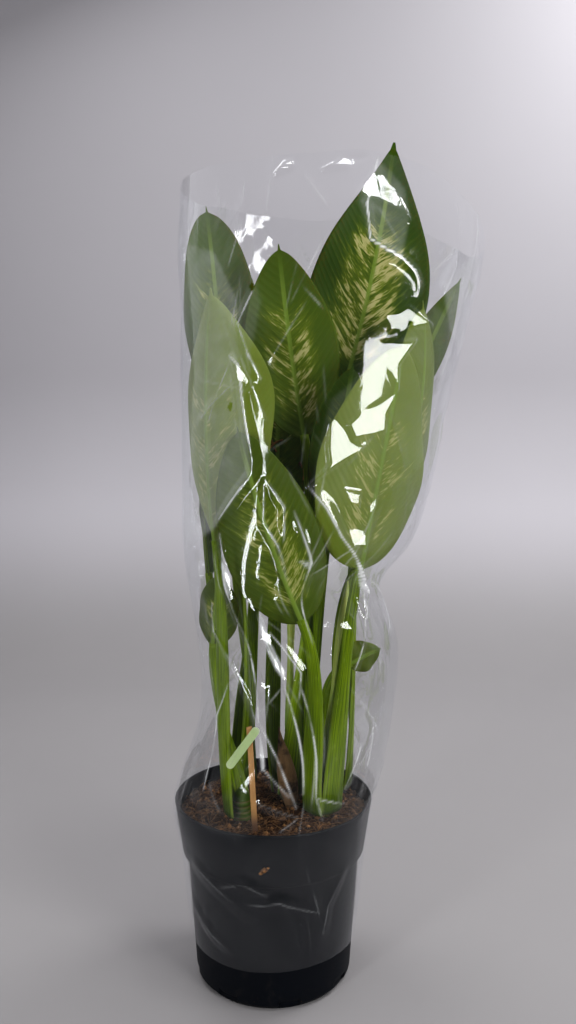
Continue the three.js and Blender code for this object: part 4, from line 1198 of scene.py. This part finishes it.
class LeafLooks(bpy.types.PropertyGroup):
    """Fineness and colours of blades, petioles, canes and withered bits."""

    blade_rows: whole("Blade rows", "Points along a blade", 74)
    blade_columns: whole("Blade columns", "Points across a blade", 41)
    petiole_rows: whole("Petiole rows", "Rings of a petiole", 56)
    petiole_sides: whole("Petiole sides", "Points round a petiole", 24)
    vein_spacing: amount("Vein spacing", "Gap between side veins, mm along the midrib", 10.5)
    vein_relief: amount("Vein relief", "Height of the ripple that follows the veins, mm", 0.07)
    deep_green: colour("Deep green", "Dark ground of a blade", (0.018, 0.064, 0.003))
    mid_green: colour("Mid green", "Lighter ground of a blade", (0.092, 0.15, 0.009))
    under_green: colour("Underside", "Pale ground of an underside", (0.2, 0.26, 0.036))
    under_deep: colour("Underside deep", "Dark ground of an underside", (0.058, 0.094, 0.004))
    lime: colour("Lime", "Edges of the feathering", (0.2, 0.26, 0.02))
    cream: colour("Cream", "Heart of the feathering", (0.52, 0.5, 0.22))
    rib_green: colour("Rib", "Midrib and side veins", (0.2, 0.3, 0.04))
    stem_bright: colour("Stem bright", "Lit fibres of a petiole", (0.235, 0.35, 0.002))
    stem_deep: colour("Stem deep", "Darker fibres of a petiole", (0.085, 0.145, 0.001))
    stem_pale: colour("Stem pale", "Mottling and margins", (0.28, 0.38, 0.05))
    stem_foot: colour("Stem foot", "Foot of petioles and canes", (0.02, 0.05, 0.005))
    scar: colour("Scar", "Leaf scars round a cane", (0.16, 0.11, 0.05))
    young_pale: colour("Young pale", "Pale fibres of a rolled leaf", (0.62, 0.68, 0.2))
    young_deep: colour("Young deep", "Deeper fibres of a rolled leaf", (0.28, 0.4, 0.05))
    young_foot: colour("Young foot", "Foot of a rolled leaf", (0.12, 0.25, 0.02))
    sheath_dark: colour("Sheath dark", "Dark fibres of the withered sheath", (0.09, 0.045, 0.018))
    sheath_pale: colour("Sheath pale", "Pale fibres of the withered sheath", (0.36, 0.22, 0.1))
    scraps_dark: colour("Scraps dark", "Dark fibres of the dried scraps", (0.2, 0.07, 0.012))
    scraps_pale: colour("Scraps pale", "Pale fibres of the dried scraps", (0.6, 0.28, 0.06))


class PotLooks(bpy.types.PropertyGroup):
    """Fineness and colours of the pot, its coir, the stake and the label."""

    pot_sides: whole("Pot sides", "Points round the pot", 288)
    pot_step: amount("Pot step", "Height of a row, mm", 5)
    fibre_count: whole("Fibres", "Loose coir fibres", 1500)
    crumb_count: whole("Crumbs", "Crumbs of bark and coir", 420)
    pot_dark: colour("Pot dark", "Plastic in its darker clouds", (0.0012, 0.0022, 0.0045))
    pot_light: colour("Pot light", "Plastic in its lighter clouds", (0.003, 0.0048, 0.0085))
    pot_dust: colour("Pot dust", "Dust on the plastic", (0.06, 0.048, 0.04))
    pot_specks: colour("Pot specks", "Specks of coir on the plastic", (0.2, 0.11, 0.05))
    coir_dark: colour("Coir dark", "Damp coir", (0.014, 0.007, 0.004))
    coir_red: colour("Coir red", "Reddish coir", (0.075, 0.032, 0.014))
    coir_light: colour("Coir light", "Dry crumbs", (0.2, 0.1, 0.04))
    fibre: colour("Fibre", "Dry fibres", (0.5, 0.24, 0.075))
    wood_deep: colour("Wood deep", "Dark grain of the stake", (0.36, 0.17, 0.05))
    wood_pale: colour("Wood pale", "Pale grain of the stake", (0.72, 0.42, 0.17))
    wood_bands: colour("Wood bands", "Broad bands of the stake", (0.26, 0.12, 0.04))
    wood_damp: colour("Wood damp", "Foot of the stake", (0.13, 0.06, 0.025))
    card_deep: colour("Card deep", "Darker clouds of the label", (0.45, 0.62, 0.27))
    card_pale: colour("Card pale", "Paler clouds of the label", (0.62, 0.74, 0.42))
    card_edge: colour("Card edge", "Cut edge of the label", (0.74, 0.82, 0.58))


class FilmLooks(bpy.types.PropertyGroup):
    """Fineness, folds and gloss of the film."""

    film_rows: whole("Rows", "Points up the film", 400)
    film_columns: whole("Columns", "Points round the film", 440)
    front_crowding: amount("Front crowding", "How much finer the front is, 0 to 1", 0.4)
    film_clear: amount("Clearance", "Gap outside the sleeve's own outline, mm", 0.4)
    reach: amount("Reach", "Most that a fold stands out, mm", 7.5)
    panel_rise: amount("Panel rise", "How far a flat place stands out, mm", 2.5)
    back_dents: amount("Back dents", "Depth of the soft dents in the back, mm", 1.6)
    panel_wave: amount("Panel wave", "Height of the soft waves in a flat place, mm", 0.35)
    crest: amount("Crest", "Rounding of a fold's crest, mm", 1.4)
    fold_count: whole("Small folds", "Number of small folds", 260)
    fold_seed: whole("Fold seed", "Start of the random draws", 5)
    film_ior: amount("Refraction", "Index of refraction", 1.5)
    film_roughness: amount("Roughness", "Roughness of the gloss", 0.07)
    gloss: amount("Gloss", "Mirrored share, as a multiple of one surface's", 1.2)
    most_gloss: amount("Most gloss", "Share mirrored where the film is seen on edge", 0.3)
    base_haze: amount("Haze", "Milky share all over", 0.004)
    # Crease whitening: share of white on fold crests, partly stress whitening and partly painted highlight
    crease_white_and_highlight: amount("Crease whitening", "Milky share on the crest of a fold", 0.85)
    crinkle: amount("Crinkle", "Strength of the fine crinkles", 0.1)
    milk: colour("Milk", "Milky part of the film", (0.93, 0.95, 0.97))
    clear: colour("Clear", "Clear part of the film", (0.985, 0.988, 0.992))


class StageSettings(bpy.types.PropertyGroup):
    """Backdrop and lights."""

    backdrop_distance: amount("Backdrop", "Distance behind the pot", 2.3, "LENGTH")
    backdrop_curve: amount("Curve", "Radius of the backdrop's foot", 1.0, "LENGTH")
    backdrop_width: amount("Width", "Width of the floor", 8, "LENGTH")
    backdrop_height: amount("Height", "Height of the backdrop", 3.5, "LENGTH")
    backdrop_colour: colour("Backdrop", "Pale grey of the backdrop", (0.58, 0.565, 0.6))
    floor_colour: colour("Floor", "Grey of the floor", (0.33, 0.32, 0.325))
    # painted shade on the floor in front of the plant
    front_painted_shade: bpy.props.FloatVectorProperty(name="Front falloff", size=2, default=(-0.2, -0.75),
                                                 description="Where the floor in front turns dark, m")
    key_power: amount("Key", "Power of the key softbox", 14, "POWER")
    top_power: amount("Top", "Power of the softbox above", 8, "POWER")
    strip_power: amount("Strip", "Power of the strip softbox", 8, "POWER")
    wall_power: amount("Wall", "Power of the softbox on the backdrop", 52, "POWER")
    back_power: amount("Back", "Power of the softbox behind", 20, "POWER")
    sky: amount("Sky", "Light from above and behind", 0.68)
    room: amount("Room", "Light from the room in front", 0.05)
    sky_colour: colour("Sky colour", "Colour of the light all round", (0.97, 0.96, 1))


class PLANT_OT_stage(bpy.types.Operator):
    """Lay out the camera, the backdrop and the lights"""

    bl_idname = "plant.stage"
    bl_label = "Stage"

    def execute(self, context):
        stage, scene = context.scene.plant_stage, context.scene
        add_camera()
        make_backdrop(stage)
        for name, (place, aim, size, tint) in SOFTBOXES.items():
            add_light(name + " softbox", place, aim, size, getattr(stage, name + "_power"), tint)
        scene.view_settings.view_transform = "Standard"
        scene.view_settings.look = "Medium High Contrast"
        scene.world = make_world(stage)
        if scene.camera is None:
            raise RuntimeError("the stage has no camera")
        return {"FINISHED"}


class PLANT_OT_pot(bpy.types.Operator):
    """Make the grower's pot"""

    bl_idname = "plant.pot"
    bl_label = "Pot"

    def execute(self, context):
        looks = context.scene.plant_pot
        make_pot(pot_finish(looks), looks)
        return {"FINISHED"}


class PLANT_OT_coir(bpy.types.Operator):
    """Fill the pot with coir, and strew loose fibres and crumbs on it"""

    bl_idname = "plant.coir"
    bl_label = "Coir"

    def execute(self, context):
        looks = context.scene.plant_pot
        make_coir(coir_finish(looks))
        loose = fibre_finish(looks)
        make_fibres(loose, looks.fibre_count)
        make_crumbs(loose, looks.crumb_count)
        return {"FINISHED"}


class PLANT_OT_canes(bpy.types.Operator):
    """Stand the canes, the rolled young leaves and the withered sheath in the coir"""

    bl_idname = "plant.canes"
    bl_label = "Canes and young leaves"

    def execute(self, context):
        looks = context.scene.plant_leaves
        bark, young = cane_finish(looks), young_leaf_finish(looks)
        for name, cane in CANES.items():
            make_cane(name, cane, bark)
        for name, rolled in ROLLED.items():
            make_rolled(name, rolled, young)
        papery = dry_finish("withered sheath", looks.sheath_dark, looks.sheath_pale)
        make_withered("withered_sheath", [DRY_SHEATH], 0.7, 1, papery, ["dry_sheath"])
        orange = dry_finish("dried scraps", looks.scraps_dark, looks.scraps_pale)
        make_withered("dried_scraps", DRIED_SCRAPS, 0.5, 0.35, orange, ["leaf_inner"])
        return {"FINISHED"}


class PLANT_OT_leaves(bpy.types.Operator):
    """Grow the leaves: a petiole and a blade each"""

    bl_idname = "plant.leaves"
    bl_label = "Leaves"

    def execute(self, context):
        looks = context.scene.plant_leaves
        blade, petiole = leaf_finish(looks), petiole_finish(looks)
        for number, (name, leaf) in enumerate(LEAVES.items()):
            make_blade(name, leaf, number, blade, looks)
            make_petiole(name, leaf, number, petiole, looks)
        return {"FINISHED"}


class PLANT_OT_label(bpy.types.Operator):
    """Set the wooden stake with its plain label"""

    bl_idname = "plant.label"
    bl_label = "Stake and label"

    def execute(self, context):
        looks = context.scene.plant_pot
        make_stake(stake_finish(looks))
        make_tag(tag_finish(looks))
        return {"FINISHED"}


class PLANT_OT_film(bpy.types.Operator):
    """Draw the clear film sleeve over the pot"""

    bl_idname = "plant.film"
    bl_label = "Film sleeve"

    def execute(self, context):
        looks = context.scene.plant_film
        make_film(film_finish(looks), looks)
        return {"FINISHED"}


OPERATORS = (
    PLANT_OT_stage, PLANT_OT_pot, PLANT_OT_coir, PLANT_OT_canes,
    PLANT_OT_leaves, PLANT_OT_label, PLANT_OT_film,
)
SETTINGS = {
    "plant_stage": StageSettings,
    "plant_pot": PotLooks,
    "plant_leaves": LeafLooks,
    "plant_film": FilmLooks,
}


class PLANT_PT_pieces(bpy.types.Panel):
    """Everything that makes the plant, in order"""

    bl_label = "Potted dieffenbachia"
    bl_space_type = "VIEW_3D"
    bl_region_type = "UI"
    bl_category = "Dieffenbachia"

    def draw(self, context):
        for operator in OPERATORS:
            self.layout.operator(operator.bl_idname)
        for name, group in SETTINGS.items():
            box = self.layout.box()
            for key in group.__annotations__:
                box.prop(getattr(context.scene, name), key)


CLASSES = (*SETTINGS.values(), *OPERATORS, PLANT_PT_pieces)


def register():
    for kind in CLASSES:
        bpy.utils.register_class(kind)
    for name, group in SETTINGS.items():
        setattr(bpy.types.Scene, name, bpy.props.PointerProperty(type=group))


def unregister():
    for name in SETTINGS:
        delattr(bpy.types.Scene, name)
    for kind in CLASSES[::-1]:
        bpy.utils.unregister_class(kind)


def main():
    register()
    bpy.ops.plant.stage()
    bpy.ops.plant.pot()
    bpy.ops.plant.coir()
    bpy.ops.plant.canes()
    bpy.ops.plant.leaves()
    bpy.ops.plant.label()
    bpy.ops.plant.film()


if __name__ == "__main__":
    main()
